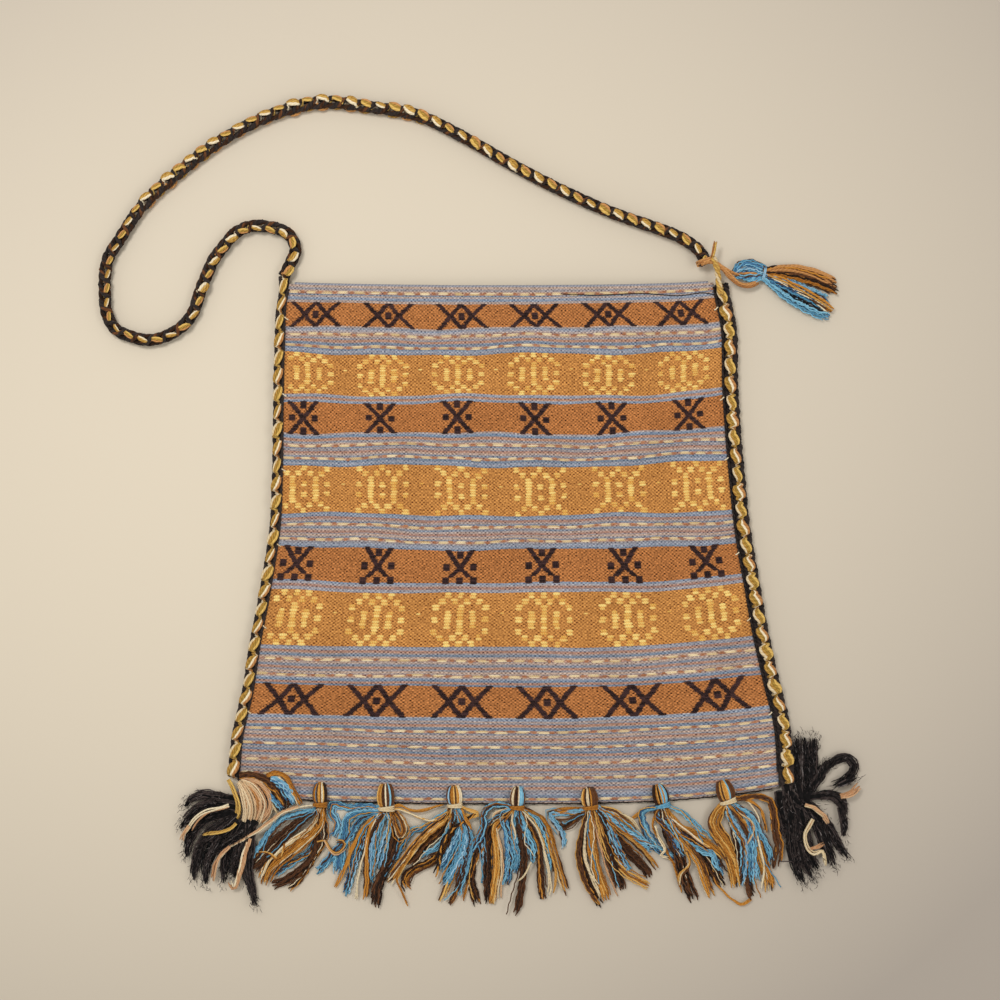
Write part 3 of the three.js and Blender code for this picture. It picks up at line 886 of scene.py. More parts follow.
def cloth_plan(u, drop):
    """Place on the plan of a point of cloth: u runs 0 to 1 across a row, drop down from the mouth."""
    left_end = np.maximum(0.0, 1 - u / 0.45)
    right_end = np.maximum(0.0, (u - 0.5) / 0.5)
    rise = outline_at("rise_left", drop) * left_end**2 + outline_at("rise_right", drop) * right_end**3
    calm = smoothstep(drop, 0, 30) * (0.8 - 0.5 * smoothstep(drop, 110, 230))
    calm = calm * (1 - smoothstep(drop, CLOTH_DEPTH - 30, CLOTH_DEPTH))
    x = outline_at("left", drop) + cloth_width(drop) * u
    return x, MOUTH_Y - drop + rise + waved(u, drop, ROW_WAVES) * calm


def fold_pull(drop):
    """How far the skins draw together where the cloth is folded at the bottom."""
    half = SEAM_THICKNESS / 2
    past = np.clip((drop - (CLOTH_DEPTH - half)) / half, 0.0, 0.87)
    return half * (1 - np.sqrt(1 - past**2))


def edge_lift(u, drop):
    edge = np.maximum(0.0, (np.abs(2 * u - 1) - FLAT_SHARE) / (1 - FLAT_SHARE))
    return SEAM_LIFT * edge**2 * (1 - smoothstep(drop, CLOTH_DEPTH - 36, CLOTH_DEPTH))


def back_height(u, drop):
    return edge_lift(u, drop) + fold_pull(drop)


def front_height(u, drop):
    """The front's soft dome with slow waves and small puckers."""
    across = 1 - np.abs(2 * u - 1) ** DOME_POWER
    from_mouth = 0.8 + 0.2 * smoothstep(drop, 0, 70)
    to_fold = 1 - smoothstep(drop, CLOTH_DEPTH - 100, CLOTH_DEPTH + 4)
    swell = (PLUMP + waved(u, drop, DOME_WAVES)) * across * from_mouth * to_fold
    pucker = waved(u, drop, PUCKERS[0]) * waved(u, drop, PUCKERS[1])
    return SEAM_THICKNESS + edge_lift(u, drop) + swell + pucker * across - fold_pull(drop)


def on_front(u, drop, height=0.0):
    x, y = cloth_plan(u, drop)
    return np.stack([x, y, front_height(u, drop) + height], axis=-1)


def band_levels():
    """Levels of the cloth's rows: two at each edge of a band or line, and more between."""
    edges = [level for _, _, top, foot, _, _ in BANDS for level in (top, foot)]
    edges += [row + side for row in DASH_ROWS + THIN_RUST_LINES for side in (-LINE_HALF, LINE_HALF)]
    edges += [row + side for row in BLUE_LINES for side in (-BLUE_LINE_HALF, BLUE_LINE_HALF)]
    levels = [0.0, 1.0, CLOTH_DEPTH - 2.2, CLOTH_DEPTH - 1.4, CLOTH_DEPTH - 0.6, CLOTH_DEPTH]
    levels += [edge + side for edge in edges for side in (-0.3, 0.3)]
    levels += list(np.arange(2.5, CLOTH_DEPTH - 3, 2.5))
    levels = np.unique(np.round(levels, 2))
    keep = np.concatenate([[True], np.diff(levels) > 0.12])
    return levels[keep & (levels <= CLOTH_DEPTH)]


def band_colours(drop):
    """Shares of rust ground, ochre ground, thin rust line and blue line at each level."""
    shares = np.zeros((len(drop), 4))
    for ground, _, top, foot, _, _ in BANDS:
        shares[(drop > top) & (drop < foot), 0 if ground == "rust" else 1] = 1.0
    for row in DASH_ROWS + THIN_RUST_LINES:
        shares[np.abs(drop - row) < LINE_HALF, 2] = 1.0
    for row in BLUE_LINES:
        shares[np.abs(drop - row) < BLUE_LINE_HALF, 3] = 1.0
    return shares


def cloth_skin(drop, inset, wall):
    """One skin of the pouch, in rings round front and back, and the place of each point on the loom."""
    edge = inset / cloth_width(drop)
    front = np.linspace(0.0, 1.0, FRONT_COLUMNS + 1)
    back = np.linspace(1.0, 0.0, BACK_COLUMNS + 1)
    u = np.concatenate([front, back]) * (1 - 2 * edge[:, None]) + edge[:, None]
    level = np.broadcast_to(drop[:, None], u.shape)
    x, y = cloth_plan(u, level)
    half = FRONT_COLUMNS + 1
    z = np.empty_like(u)
    z[:, :half] = front_height(u[:, :half], level[:, :half]) - wall
    z[:, half:] = back_height(u[:, half:], level[:, half:]) + wall
    return np.stack([x, y, z], axis=-1), np.stack([u * LOOM_WIDTH, level], axis=-1)


def make_cloth():
    levels = band_levels()
    inner_levels = np.concatenate([[0.0], np.linspace(6, CLOTH_DEPTH - SEAM_MARGIN, INNER_ROWS)])
    outer, outer_place = cloth_skin(levels, 0.0, 0.0)
    inner, inner_place = cloth_skin(inner_levels, SEAM_MARGIN, WALL)
    work = Work()
    work.grid(outer, outer_place, "cloth", closed=True)
    work.grid(inner[:, ::-1], inner_place[:, ::-1], "cloth", closed=True)
    rim = np.stack([inner[0], outer[0]])
    work.grid(rim, np.stack([inner_place[0], outer_place[0]]), "cloth", closed=True)
    every = FRONT_COLUMNS / BACK_COLUMNS
    top = [FRONT_COLUMNS - round(k * every) for k in range(BACK_COLUMNS + 1)]
    foot = [FRONT_COLUMNS + 1 + k for k in range(BACK_COLUMNS + 1)]
    for skin, place, order in ((outer, outer_place, 1), (inner, inner_place, -1)):
        strip = np.stack([skin[-1][top], skin[-1][foot]])
        strip_place = np.stack([place[-1][top], place[-1][foot]])
        work.grid(strip[:, ::order], strip_place[:, ::order], "cloth")
    piece = work.make("woven_pouch")
    columns = FRONT_COLUMNS + BACK_COLUMNS + 2
    fold = np.full(2, CLOTH_DEPTH)
    rows = [levels, inner_levels, np.zeros(2), fold, fold]
    widths = [columns, columns, columns, BACK_COLUMNS + 1, BACK_COLUMNS + 1]
    shares = np.concatenate([np.repeat(band_colours(r), w, axis=0) for r, w in zip(rows, widths)])
    layer = piece.data.attributes.new("band", "FLOAT_COLOR", "POINT")
    layer.data.foreach_set("color", shares.ravel())
    return dress(piece, "woven_cloth", "bag_body")


# Weft floats that draw the pattern

# A float along its length: stations from its middle, and how full it is there
FLOAT_STATIONS = np.array([-1.0, -0.72, 0.0, 0.72, 1.0])
FLOAT_SWELL = np.array([0.25, 0.85, 1.0, 0.85, 0.25])
FLOAT_SIDES = 4
FLOAT_SINK = 0.05
YELLOW_HALF = 2.15
YELLOW_HEIGHT = 0.85


def add_floats(work, across, drop, half_length, thread, height, finish):
    """Short raised weft floats, laid over the front at places in loom millimetres."""
    across, drop, half_length = (np.asarray(v, float) for v in (across, drop, half_length))
    swell = FLOAT_SWELL[None, :, None]
    angle = np.linspace(0.0, np.pi, FLOAT_SIDES)[None, None, :]
    thread = np.broadcast_to(thread, across.shape)[:, None, None]
    reach = half_length[:, None, None] * FLOAT_STATIONS[None, :, None]
    u = (across[:, None, None] + reach) / LOOM_WIDTH
    down = drop[:, None, None] + np.cos(angle) * swell * thread * 0.5
    lift = np.sin(angle) * swell * height - FLOAT_SINK
    u = np.clip(np.broadcast_to(u, down.shape), 0.001, 0.999)
    points = on_front(u, np.minimum(down, CLOTH_DEPTH), np.broadcast_to(lift, down.shape))
    for half, float_points in zip(half_length, points):
        turn = work.yarns + 0.5 * np.arange(FLOAT_SIDES) / FLOAT_SIDES
        places = np.stack(np.meshgrid(turn, FLOAT_STATIONS * half), axis=-1)
        work.grid(float_points, places, finish)
        work.yarns += 1


def inside_selvedge(margin, across, *others):
    """The floats that lie a margin or more inside the cloth's sides."""
    across = np.array(across)
    keep = (across > margin) & (across < LOOM_WIDTH - margin)
    return [np.array(v)[keep] for v in (across, *others)]


def yellow_floats():
    across, drop, half, threads = [], [], [], []
    for _, motif, top, foot, first, repeat in BANDS:
        if motif not in YELLOW_MOTIFS:
            continue
        chart = YELLOW_MOTIFS[motif]
        row_step = (foot - top) / len(chart)
        thread = row_step / FLOATS_PER_MARK
        spots = [(r, c) for r, marks in enumerate(chart) for c in range(len(marks))]
        marked = [(r, c) for r, c in spots if chart[r][c] == "#"]
        for k in range(MOTIFS_ACROSS):
            middle = (first + repeat * k) * LOOM_WIDTH
            for r, c in marked:
                column = middle + (c - len(chart[r]) // 2) * CHART_COLUMN
                for f in range(FLOATS_PER_MARK):
                    across.append(column + RANDOM.normal(0, 0.25))
                    drop.append(top + r * row_step + (f + 0.5) * thread)
                    half.append(YELLOW_HALF + RANDOM.normal(0, 0.25))
                    threads.append(1.06 * thread)
            if k < MOTIFS_ACROSS - 1:
                across.append(middle + repeat * LOOM_WIDTH / 2)
                drop.append((top + foot) / 2 - row_step)
                half.append(1.4)
                threads.append(1.1)
    return inside_selvedge(2.5, across, drop, half, threads)


def dash_floats(offset, share):
    """Rows of short dashes: offset within the repeat, and half a dash's share of it."""
    across, drop, half = [], [], []
    period = LOOM_WIDTH / DASHES_ACROSS
    for row, level in enumerate(DASH_ROWS):
        for k in range(DASHES_ACROSS):
            middle = (k + offset + 0.25 * (row % 2)) * period + RANDOM.normal(0, 0.4)
            shift = RANDOM.normal(0, 0.2)
            for side in (-0.38, 0.38):
                across.append(middle + RANDOM.normal(0, 0.5))
                drop.append(level + side + shift)
                half.append(share * period + RANDOM.normal(0, 0.35))
    return across, drop, half


def dark_floats():
    across, drop, half = [], [], []
    for _, motif, top, foot, first, repeat in BANDS:
        if motif not in DARK_MOTIFS:
            continue
        tall = (foot - top) / 2
        rows = np.arange(top - 0.15 * tall + DARK_THREAD / 2, foot + 0.1 * tall, DARK_THREAD)
        for k in range(MOTIFS_ACROSS):
            middle = (first + repeat * k) * LOOM_WIDTH
            for level in rows:
                share = (level - (top + foot) / 2) / tall
                for stroke in DARK_MOTIFS[motif]["strokes"]:
                    xs, ys = np.array(stroke).T
                    order = np.argsort(ys)
                    if ys.min() - 0.03 <= share <= ys.max() + 0.03:
                        x = np.interp(share, ys[order], xs[order])
                        across.append(middle + x + RANDOM.normal(0, 0.22))
                        drop.append(level)
                        half.append(DARK_FLOAT_HALF + RANDOM.normal(0, 0.2))
                for x, y in DARK_MOTIFS[motif]["dots"]:
                    if abs(share - y) * tall < DOT_HALF * 0.85:
                        across.append(middle + x)
                        drop.append(level)
                        half.append(DOT_HALF)
    return inside_selvedge(2.0, across, drop, half)


def make_brocade():
    work = Work()
    add_floats(work, *yellow_floats(), height=YELLOW_HEIGHT, finish="yellow weft")
    add_floats(work, *dash_floats(0.4, 0.31), thread=0.85, height=0.6, finish="cream weft")
    add_floats(work, *dash_floats(0.9, 0.13), thread=0.8, height=0.5, finish="rust weft")
    dress(work.make("yellow_brocade"), "woven_cloth")
    work = Work()
    add_floats(work, *dark_floats(), thread=1.05, height=0.7, finish="dark weft")
    dress(work.make("dark_brocade"), "woven_cloth")


# Braids

# Round a braid's middle: dark strands bulge at its sides, and light links lie over them on top
BRAID_SIZE = 4.8
DARK_BUNDLE = 1.25
DARK_YARN = 1.15
LIGHT_YARN = 0.84
STRAP_LINKS = (
    ((-1.45, "cream"), (0.0, "gold"), (1.45, "gold")),
    ((-1.45, "gold"), (0.0, "old gold"), (1.45, "tan")),
)
SIDE_LINKS = (
    ((-1.6, "gold"), (-0.55, "old gold"), (0.55, "gold"), (1.6, "cream")),
    ((-1.6, "tan"), (-0.55, "cream"), (0.55, "old gold"), (1.6, "gold")),
)
# Roll of the strap along its length: share of the length and angle
STRAP_ROLL = (
    (0.0, -0.6), (0.06, 0.6), (0.2, 0.6), (0.27, -0.4), (0.33, -0.6), (0.4, 0.5),
    (0.5, 0.5), (0.6, 0.7), (0.68, 0.5), (0.8, 0.2), (1.0, 0.0),
)
# Size of the light links along the strap: share of the length and scale
STRAP_LIGHT = (
    (0.0, 0.9), (0.17, 0.95), (0.205, 0.62), (0.29, 0.55), (0.36, 0.7), (0.43, 0.95), (1.0, 1.0),
)
BRAID_STEP = 1.1
SIDE_HEIGHT = 4.4
EDGE_POINTS = 24
ROLL_SPACING = 25.0
LEAST_CLEARANCE = 0.1


def beside(line):
    """Directions to the side of a line and up from it."""
    tangent = directions(line)
    side = unit(np.cross(tangent, (0.0, 0.0, 1.0)))
    return side, np.cross(side, tangent)


def add_twist(work, line, reach, pitch, radius, colours):
    """Yarns wound round each other along a line."""
    side, over = beside(line)
    along = length_along(line)
    for k, colour in enumerate(colours):
        turn = TURN * (along / pitch + k / len(colours))
        offset = side * np.cos(turn)[:, None] + over * np.sin(turn)[:, None]
        work.yarn(line + reach * offset, radius, colour)


def add_braid(work, line, half_width, half_height, roll, links, pitch, dark, tilt, light, crossed=False):
    """A round braid: two dark strands linger at its sides, two light ones lie in long links over them.

    Dark and light scale those strands, and tilt slants the links. Where the braid is crossed, the dark
    strands come over the top between one link and the next, and some of their yarns are brown.
    """
    side, over = beside(line)
    along = length_along(line)
    turn = TURN * along / pitch
    over_top = np.sin(turn) ** 2
    shown = smoothstep(over_top, 0.02, 0.2)
    link = np.round(turn / np.pi - 0.5)
    within = turn - np.pi * (link + 0.5)
    jump = (1 - tilt) * np.pi / 2 * np.sign(within) * smoothstep(np.abs(within), 0.9, np.pi / 2)
    light_turn = np.pi * (link + 0.5) + tilt * within + jump
    dark_phase = turn + np.pi / 2 * crossed
    dark_turn = dark_phase - (0.1 if crossed else 0.4) * np.sin(2 * dark_phase)
    dark_reach = 1.8 + 0.5 * crossed + 0.4 * np.cos(2 * turn)

    def lay(angle, out, sideways, radius, colour):
        across = (out * np.cos(angle) - sideways * np.sin(angle)) / BRAID_SIZE
        up = (out * np.sin(angle) + sideways * np.cos(angle)) / BRAID_SIZE
        yarn = line + side * (half_width * across)[:, None] + over * (half_height * up)[:, None]
        thick = radius * (half_height + half_width) / (2 * BRAID_SIZE)
        yarn[:, 2] = np.maximum(yarn[:, 2], thick + LEAST_CLEARANCE)
        work.yarn(yarn, thick, colour, sides=5)

    for begin, yarns in zip((0.0, math.pi), links):
        for k in range(2):
            twist = TURN * (along / 11.0 + k / 2)
            out = 2.2 + 0.8 * dark * np.cos(twist)
            shade = "dark brown" if crossed and k else "black"
            lay(begin + 0.4 * roll, out, 0.8 * dark * np.sin(twist), DARK_YARN, shade)
        for k in range(3):
            twist = TURN * (along / 13.0 + k / 3)
            out = dark_reach + dark * DARK_BUNDLE * np.cos(twist)
            shade = "brown" if crossed and not k else "black"
            lay(dark_turn + begin + roll, out, dark * DARK_BUNDLE * np.sin(twist), DARK_YARN, shade)
        for aside, colour in yarns:
            out = -0.6 + (3.6 + light) * shown - 0.1 * aside**2
            sideways = light * aside * over_top**0.5
            lay(-light_turn + begin + roll, out, sideways, light * LIGHT_YARN, colour)


def strap_line(spacing):
    flat = np.array(STRAP_ROUTE, float)
    to_end = np.linalg.norm(flat - flat[-1], axis=1)
    climb = 1 - smoothstep(to_end, 0.0, STRAP_CLIMB)
    height = STRAP_RADIUS + LEAST_CLEARANCE + STRAP_END_LIFT * climb
    return smooth_line(np.column_stack([flat, height]), spacing)


def edge_line(u, outward, height, start, end):
    drop = np.linspace(start, end, EDGE_POINTS)
    x, y = cloth_plan(np.full(drop.shape, u), drop)
    return np.column_stack([x + outward, y, np.full(drop.shape, height)])


def link_sizes(draw, line, pitch, low, high):
    """A size of its own for each light link along a braid."""
    link = np.round(2 * length_along(line) / pitch - 0.5).astype(int)
    return draw.uniform(low, high, link.max() + 1)[link]


def make_braids():
    uneven = np.random.default_rng(7)
    line = strap_line(BRAID_STEP)
    share = np.linspace(0.0, 1.0, len(line))
    along = length_along(line)
    spots = np.arange(0.0, along[-1] + ROLL_SPACING, ROLL_SPACING)
    wobble = np.interp(along, spots, uneven.normal(0, 0.16, len(spots)))
    roll = np.interp(share, *np.array(STRAP_ROLL).T) + wobble
    fullness = link_sizes(uneven, line, BRAID_PITCH, 0.75, 1.35)
    light = np.interp(share, *np.array(STRAP_LIGHT).T) * fullness
    work = Work()
    add_braid(work, line, STRAP_RADIUS + 0.2, STRAP_RADIUS, roll, STRAP_LINKS, BRAID_PITCH,
              dark=0.6, tilt=0.2, light=light, crossed=True)
    strap = dress(work.make("braided_strap"), "braid", "shoulder_strap")

    left = edge_line(0.0, np.linspace(-2.8, -2.3, EDGE_POINTS), height=4.5, start=296, end=4)
    left = smooth_line(np.concatenate([left, strap_line(40)[:1]]), BRAID_STEP)
    half_width = np.linspace(5.0, 4.2, len(left))
    light = link_sizes(uneven, left, SIDE_PITCH, 0.9, 1.4)
    work = Work()
    add_braid(work, left, half_width, SIDE_HEIGHT, 0.1, SIDE_LINKS, SIDE_PITCH,
              dark=0.5, tilt=0.3, light=light)
    dress(work.make("left_edge_braid"), "braid", "side_braid_left")

    right = smooth_line(edge_line(1.0, 4.8, height=4.9, start=306, end=1), BRAID_STEP)
    half_width = np.linspace(6.0, 5.2, len(right))
    roll = np.linspace(-0.15, 0.3, len(right))
    light = link_sizes(uneven, right, SIDE_PITCH, 0.9, 1.35)
    work = Work()
    add_braid(work, right, half_width, SIDE_HEIGHT, roll, SIDE_LINKS, SIDE_PITCH,
              dark=0.75, tilt=-0.3, light=light)
    dress(work.make("right_edge_braid"), "braid", "side_braid_right")
    return strap


# Yarn bundles

BUNDLE_STEP = 1.85
STRAY_STEP = 2.2
FLUFF_STEP = 2.0
FINE_YARN = 0.56
FLOOR_GAP = 0.12


def routed(route):
    """Places on the plan, in millimetres, of a route drawn in steps on the camera's view."""
    route = np.asarray(route, float)
    x = (route[:, 0] - ROUTE_ORIGIN[0]) * ROUTE_STEP
    y = (ROUTE_ORIGIN[1] - route[:, 1]) * ROUTE_STEP
    return np.column_stack([x, y])


def across_plan(line):
    """The direction to the side of a line on the plan."""
    tangent = directions(line)
    return np.column_stack([-tangent[:, 1], tangent[:, 0]])


def height_along(share, heights):
    """Heights of a yarn from where it starts, to where it lies, to its tip."""
    start, lie, tip = heights
    fall = (lie - start) * smoothstep(share, 0.0, 0.3)
    return start + fall + (tip - lie) * smoothstep(share, 0.45, 1.0)


def ring_turn(points):
    return np.linspace(0, TURN, points)


def pick_colour(colour):
    """The bundle's own colour, or now and then one of the odd yarns mixed into it."""
    draw = RANDOM.uniform()
    for other, share in MIXTURES.get(colour, ()):
        if draw < share:
            return other
        draw -= share
    return colour


def add_bundle(work, colour, width, route, heights, ragged=0.1, fan=0.5, shade_core=0.0, close=0.0):
    """Yarns side by side along a route.

    Their tips are ragged, they fan out from a share of the width, and they may close up again at the tip.
    A dark tube inside the bundle, sized as a share of its width, is painted shade that deepens the gaps
    between its yarns.
    """
    radius, crimp, wave, filling = YARNS[colour]
    count = max(1, round(filling * width**2 + 1))
    wide = width * ROUTE_STEP
    deep = min(0.65 * wide, 3.4)
    line = smooth_line(routed(route), BUNDLE_STEP)
    steps = len(line)
    t = np.linspace(0.0, 1.0, steps)
    along = length_along(line)
    across = across_plan(line)
    height = height_along(t, heights)
    spread = (fan + (1 - fan) * smoothstep(t, 0.0, 0.6)) * (1 - close * smoothstep(t, 0.6, 1.0))
    for _ in range(count):
        shade = pick_colour(colour)
        far = math.sqrt(RANDOM.uniform())
        angle = RANDOM.uniform(0, TURN)
        if count == 1:
            far = 0.0
        phase, slow = RANDOM.uniform(0, 1, 2)
        bend = TURN * (along / wave + phase) + 1.3 * np.sin(TURN * (along / (3.1 * wave) + slow))
        sideways = far * math.cos(angle) * 0.5 * wide * spread + crimp * np.sin(bend)
        sideways = sideways + RANDOM.normal(0, 0.7) * t**2
        rise = far * math.sin(angle) * 0.5 * deep * spread + 0.6 * crimp * np.cos(bend)
        thick = radius * RANDOM.uniform(0.88, 1.12) * np.ones(steps)
        end = max(4, round(steps * (1 - ragged * RANDOM.uniform())))
        thick[end - 2:end] *= (0.9, 0.5)
        level = np.maximum(height + rise, thick + FLOOR_GAP)
        yarn = np.column_stack([line + across * sideways[:, None], level])
        work.yarn(yarn[:end], thick[:end], shade, sides=4 if radius < FINE_YARN else 5)
    # Painted shade: a near-black tube inside the bundle deepens the gaps between its yarns.
    if shade_core:
        body = shade_core * wide * np.sqrt(np.clip((1.02 - t) * 3, 0.05, 1.0))
        level = np.maximum(height, body + FLOOR_GAP)
        work.yarn(np.column_stack([line, level]), body, "soot", sides=8)


# Bottom tassels

HEAD_LOOPS = 11
ODD_LOOPS = 0.45
# The bow of a loop: share of the way to the waist, share of the half width and height
HEAD_SHAPE = (
    (0.0, 0.3, 4.2), (0.1, 0.62, 8.0), (0.4, 0.86, 9.9),
    (0.75, 0.8, 8.9), (1.0, 0.5, 6.6), (1.35, 0.5, 5.0),
)
BINDING_TURNS = 3
WAIST_HEIGHT = 6.2
HEAD_HEIGHT = 5.8
NEAR_HEAD = 14
STRAY_COLOURS = ("ochre", "brown", "light ochre", "cream", "blue", "dark brown")
STRAY_SHARES = (0.26, 0.16, 0.2, 0.16, 0.16, 0.06)
OWN_STRAYS = 0.5
STRAYS = 2
STRAY_LIFT = 1.5
STRAY_RADIUS = 0.34
WIDE_TAIL = 4


def add_head(work, top, waist, half_width, colours, binding):
    """Yarns looped through the cloth over its bottom edge and bound at the waist."""
    top, waist = routed([top, waist])
    down = waist - top
    across = np.array([-down[1], down[0]]) / np.linalg.norm(down)
    half = half_width * ROUTE_STEP

    def loop(aside, drop, radius, colour):
        hump = -0.9 * aside * aside - drop
        bow = [(*(top + down * s + across * (aside * half * w)), z + hump) for s, w, z in HEAD_SHAPE]
        work.yarn(smooth_line(bow, 1.2), radius, pick_colour(colour))

    for k, colour in enumerate(colours):
        loop(2 * (k + 0.5) / len(colours) - 1, drop=1.7, radius=1.2, colour=colour)
    for k in range(HEAD_LOOPS):
        aside = 2 * (k + 0.5) / HEAD_LOOPS - 1
        colour = colours[k * len(colours) // HEAD_LOOPS]
        if RANDOM.uniform() < ODD_LOOPS:
            colour = colours[RANDOM.integers(len(colours))]
        loop(aside, drop=RANDOM.uniform(-0.3, 0.3), radius=0.62, colour=colour)
    turn = ring_turn(22)
    wide = 0.55 * half + 1.3
    for k in range(BINDING_TURNS):
        tilt = 0.25 * (k - 1)
        middle = waist + down * (0.06 * (k - 1))
        aslant = down * (tilt * 0.12 * np.cos(turn))[:, None]
        ring = middle + across * (wide * np.cos(turn))[:, None] + aslant
        work.yarn(np.column_stack([ring, WAIST_HEIGHT + 3.0 * np.sin(turn)]), 0.62, binding, sides=5)


def add_stray(work, draw, own_colour, route, heights):
    """A thin loose yarn that strays from the route of a tail."""
    line = smooth_line(routed(route), STRAY_STEP)
    share = np.linspace(0.0, 1.0, len(line))
    drift = draw.normal(0, 2.4) * share
    wander = drift + draw.normal(0, 1.4) * np.sin(np.pi * share * draw.uniform(1.0, 2.6))
    ripple = 0.3 * np.sin(TURN * (np.arange(len(line)) * 0.31 + draw.uniform()))
    end = max(4, round(len(line) * draw.uniform(0.7, 1.0)))
    plan = line + across_plan(line) * (wander + ripple)[:, None]
    yarn = np.column_stack([plan, height_along(share, heights)])
    other = str(draw.choice(STRAY_COLOURS, p=STRAY_SHARES))
    colour = own_colour if draw.uniform() < OWN_STRAYS else other
    work.yarn(yarn[:end], STRAY_RADIUS, colour, sides=4)


def make_bottom_tassels():
    draw = np.random.default_rng(12)
    for number, (head, tails) in enumerate(zip(TASSEL_HEADS, TAILS), 1):
        work = Work()
        add_head(work, *head)
        for k, (colour, width, route) in enumerate(tails):
            lie = 1.6 + 5.4 * k / (len(tails) - 1)
            near = np.linalg.norm(np.subtract(route[0], head[1])) < NEAR_HEAD
            heights = (HEAD_HEIGHT if near else lie, lie, 1.0 + 0.45 * lie)
            add_bundle(work, colour, width, route, heights)
            for _ in range(STRAYS if width > WIDE_TAIL else 0):
                add_stray(work, draw, colour, route, [height + STRAY_LIFT for height in heights])
        dress(work.make(f"yarn_tassel_{number}"), "fringe_yarn", f"tassel_{number}")


# Corner tassels

# Hairs of black and charcoal wool, with a few light grey ones as painted highlight
FLUFF_COLOURS = ("soot", "charcoal", "charcoal", "ash")
FLUFF_SHARES = (0.4, 0.3, 0.22, 0.08)
HAIRS_PER_STEP = 0.5
HAIR_POINTS = 5
HAIR_RADIUS = 0.2


def add_fluff(work, width, route, lie):
    """Loose hairs that stand off a lock of wool."""
    line = smooth_line(routed(route), FLUFF_STEP)
    tangent = np.gradient(line, axis=0)
    share = np.linspace(0.0, 1.0, HAIR_POINTS)
    for _ in range(round(HAIRS_PER_STEP * width * len(line))):
        at = RANDOM.integers(len(line) // 5, len(line))
        ahead = math.atan2(tangent[at, 1], tangent[at, 0])
        start = line[at] + RANDOM.uniform(-0.45, 0.45, 2) * width * ROUTE_STEP
        heading = ahead + RANDOM.normal(0, 0.3) + RANDOM.normal(0, 0.6) * share
        step = RANDOM.uniform(1.4, 3.6) / 4
        plan = start + np.cumsum(np.column_stack([np.cos(heading), np.sin(heading)]), axis=0) * step
        level = lie + RANDOM.uniform(0.5, 3.0) + 0.8 * np.sin(np.pi * share) - 1.2 * share
        thick = HAIR_RADIUS * (1 - 0.6 * share)
        shade = str(RANDOM.choice(FLUFF_COLOURS, p=FLUFF_SHARES))
        work.yarn(np.column_stack([plan, np.maximum(level, 0.4)]), thick, shade, sides=3)


def add_bundles(work, rows, heights, **shape):
    for colour, width, route in rows:
        add_bundle(work, colour, width, route, heights, **shape)


def make_corner(name, node, locks, strands):
    work = Work()
    for k, (colour, width, route) in enumerate(locks):
        lie = 2.6 + 3.2 * k / (len(locks) - 1)
        heights = (5.2, lie, 1.4 + 0.4 * lie)
        add_bundle(work, colour, width, route, heights, ragged=0.24, fan=0.6, shade_core=0.24, close=0.5)
        add_fluff(work, width, route, lie)
    add_bundles(work, strands, (9.0, 9.0, 5.6), ragged=0.08, fan=0.7)
    dress(work.make(name), "charcoal_wool", node)


def make_corner_knot():
    work = Work()
    add_bundles(work, PALE_BUNDLE, (6.6, 9.8, 4.2), ragged=0.04, fan=0.7, close=0.4)
    add_bundles(work, CORNER_ARCHES, (7.6, 8.6, 5.6), ragged=0.04, fan=0.8)
    dress(work.make("pale_yarn_knot"), "pale_yarn", "corner_knot_left")


# The strap's end

TIE_RADIUS = 5.0
TIE_SPACING = 1.4
TIE_ENDS = routes("""
tan 2 709,260 712,252 714,244
gold 2 711,260 713,252 714,245
""")
CHAIN_ROUTE = ((711, 260), (714, 267), (716, 276), (717, 286), (719, 296))
CHAIN_HEIGHTS = (12.2, 11.6, 10.6, 10.2, 10.0)
SMALL_WAIST = (763, 275)


def make_strap_tie():
    near = strap_line(1.0)[-10:]
    side, over = beside(near)
    work = Work()
    turn = ring_turn(26)
    for k in (3, 4):
        at = np.interp(turn, (0, TURN), (2 + TIE_SPACING * k, 2.8 + TIE_SPACING * k))
        middle = np.column_stack([np.interp(at, np.arange(len(near)), column) for column in near.T])
        here = round(3 + TIE_SPACING * k)
        around = np.outer(np.cos(turn), side[here]) + np.outer(np.sin(turn), over[here])
        ring = middle + TIE_RADIUS * around
        ring[:, 2] = np.maximum(ring[:, 2], 0.8)
        work.yarn(ring, 0.6, "tan")
    add_bundles(work, TIE_ENDS, (11.0, 12.0, 12.0), ragged=0.05)
    chain = smooth_line(np.column_stack([routed(CHAIN_ROUTE), CHAIN_HEIGHTS]), BRAID_STEP)
    add_twist(work, chain, reach=1.0, pitch=15.0, radius=0.95, colours=("gold", "cream", "gold"))
    return dress(work.make("strap_tie_yarn"), "tie_yarn", "strap_tie")


def make_strap_tassel():
    work = Work()
    add_bundles(work, STRAP_TASSEL_CORDS, (12.4, 11.0, 6.0), ragged=0.02, fan=0.8)
    add_bundles(work, STRAP_TASSEL_HEAD, (5.6, 5.8, 5.0), ragged=0.02, fan=0.8)
    for k, (colour, width, route) in enumerate(STRAP_TASSEL_TAIL):
        add_bundle(work, colour, width, route, (5.2, 2.6 + 0.3 * k, 2.0 + 0.2 * k), ragged=0.08)
    x, y = routed([SMALL_WAIST])[0]
    turn = ring_turn(22)
    for shift in (-0.5, 0.5):
        across = x + 0.8 * shift + 0.8 * np.cos(turn)
        ring = np.column_stack([across, y + 3.6 * np.cos(turn), 4.8 + 2.9 * np.sin(turn)])
        work.yarn(ring, 0.42, "pale blue", sides=5)
    return dress(work.make("strap_end_tassel"), "fringe_yarn", "strap_tassel")


# Sewing

SEAM_INSET = 0.2
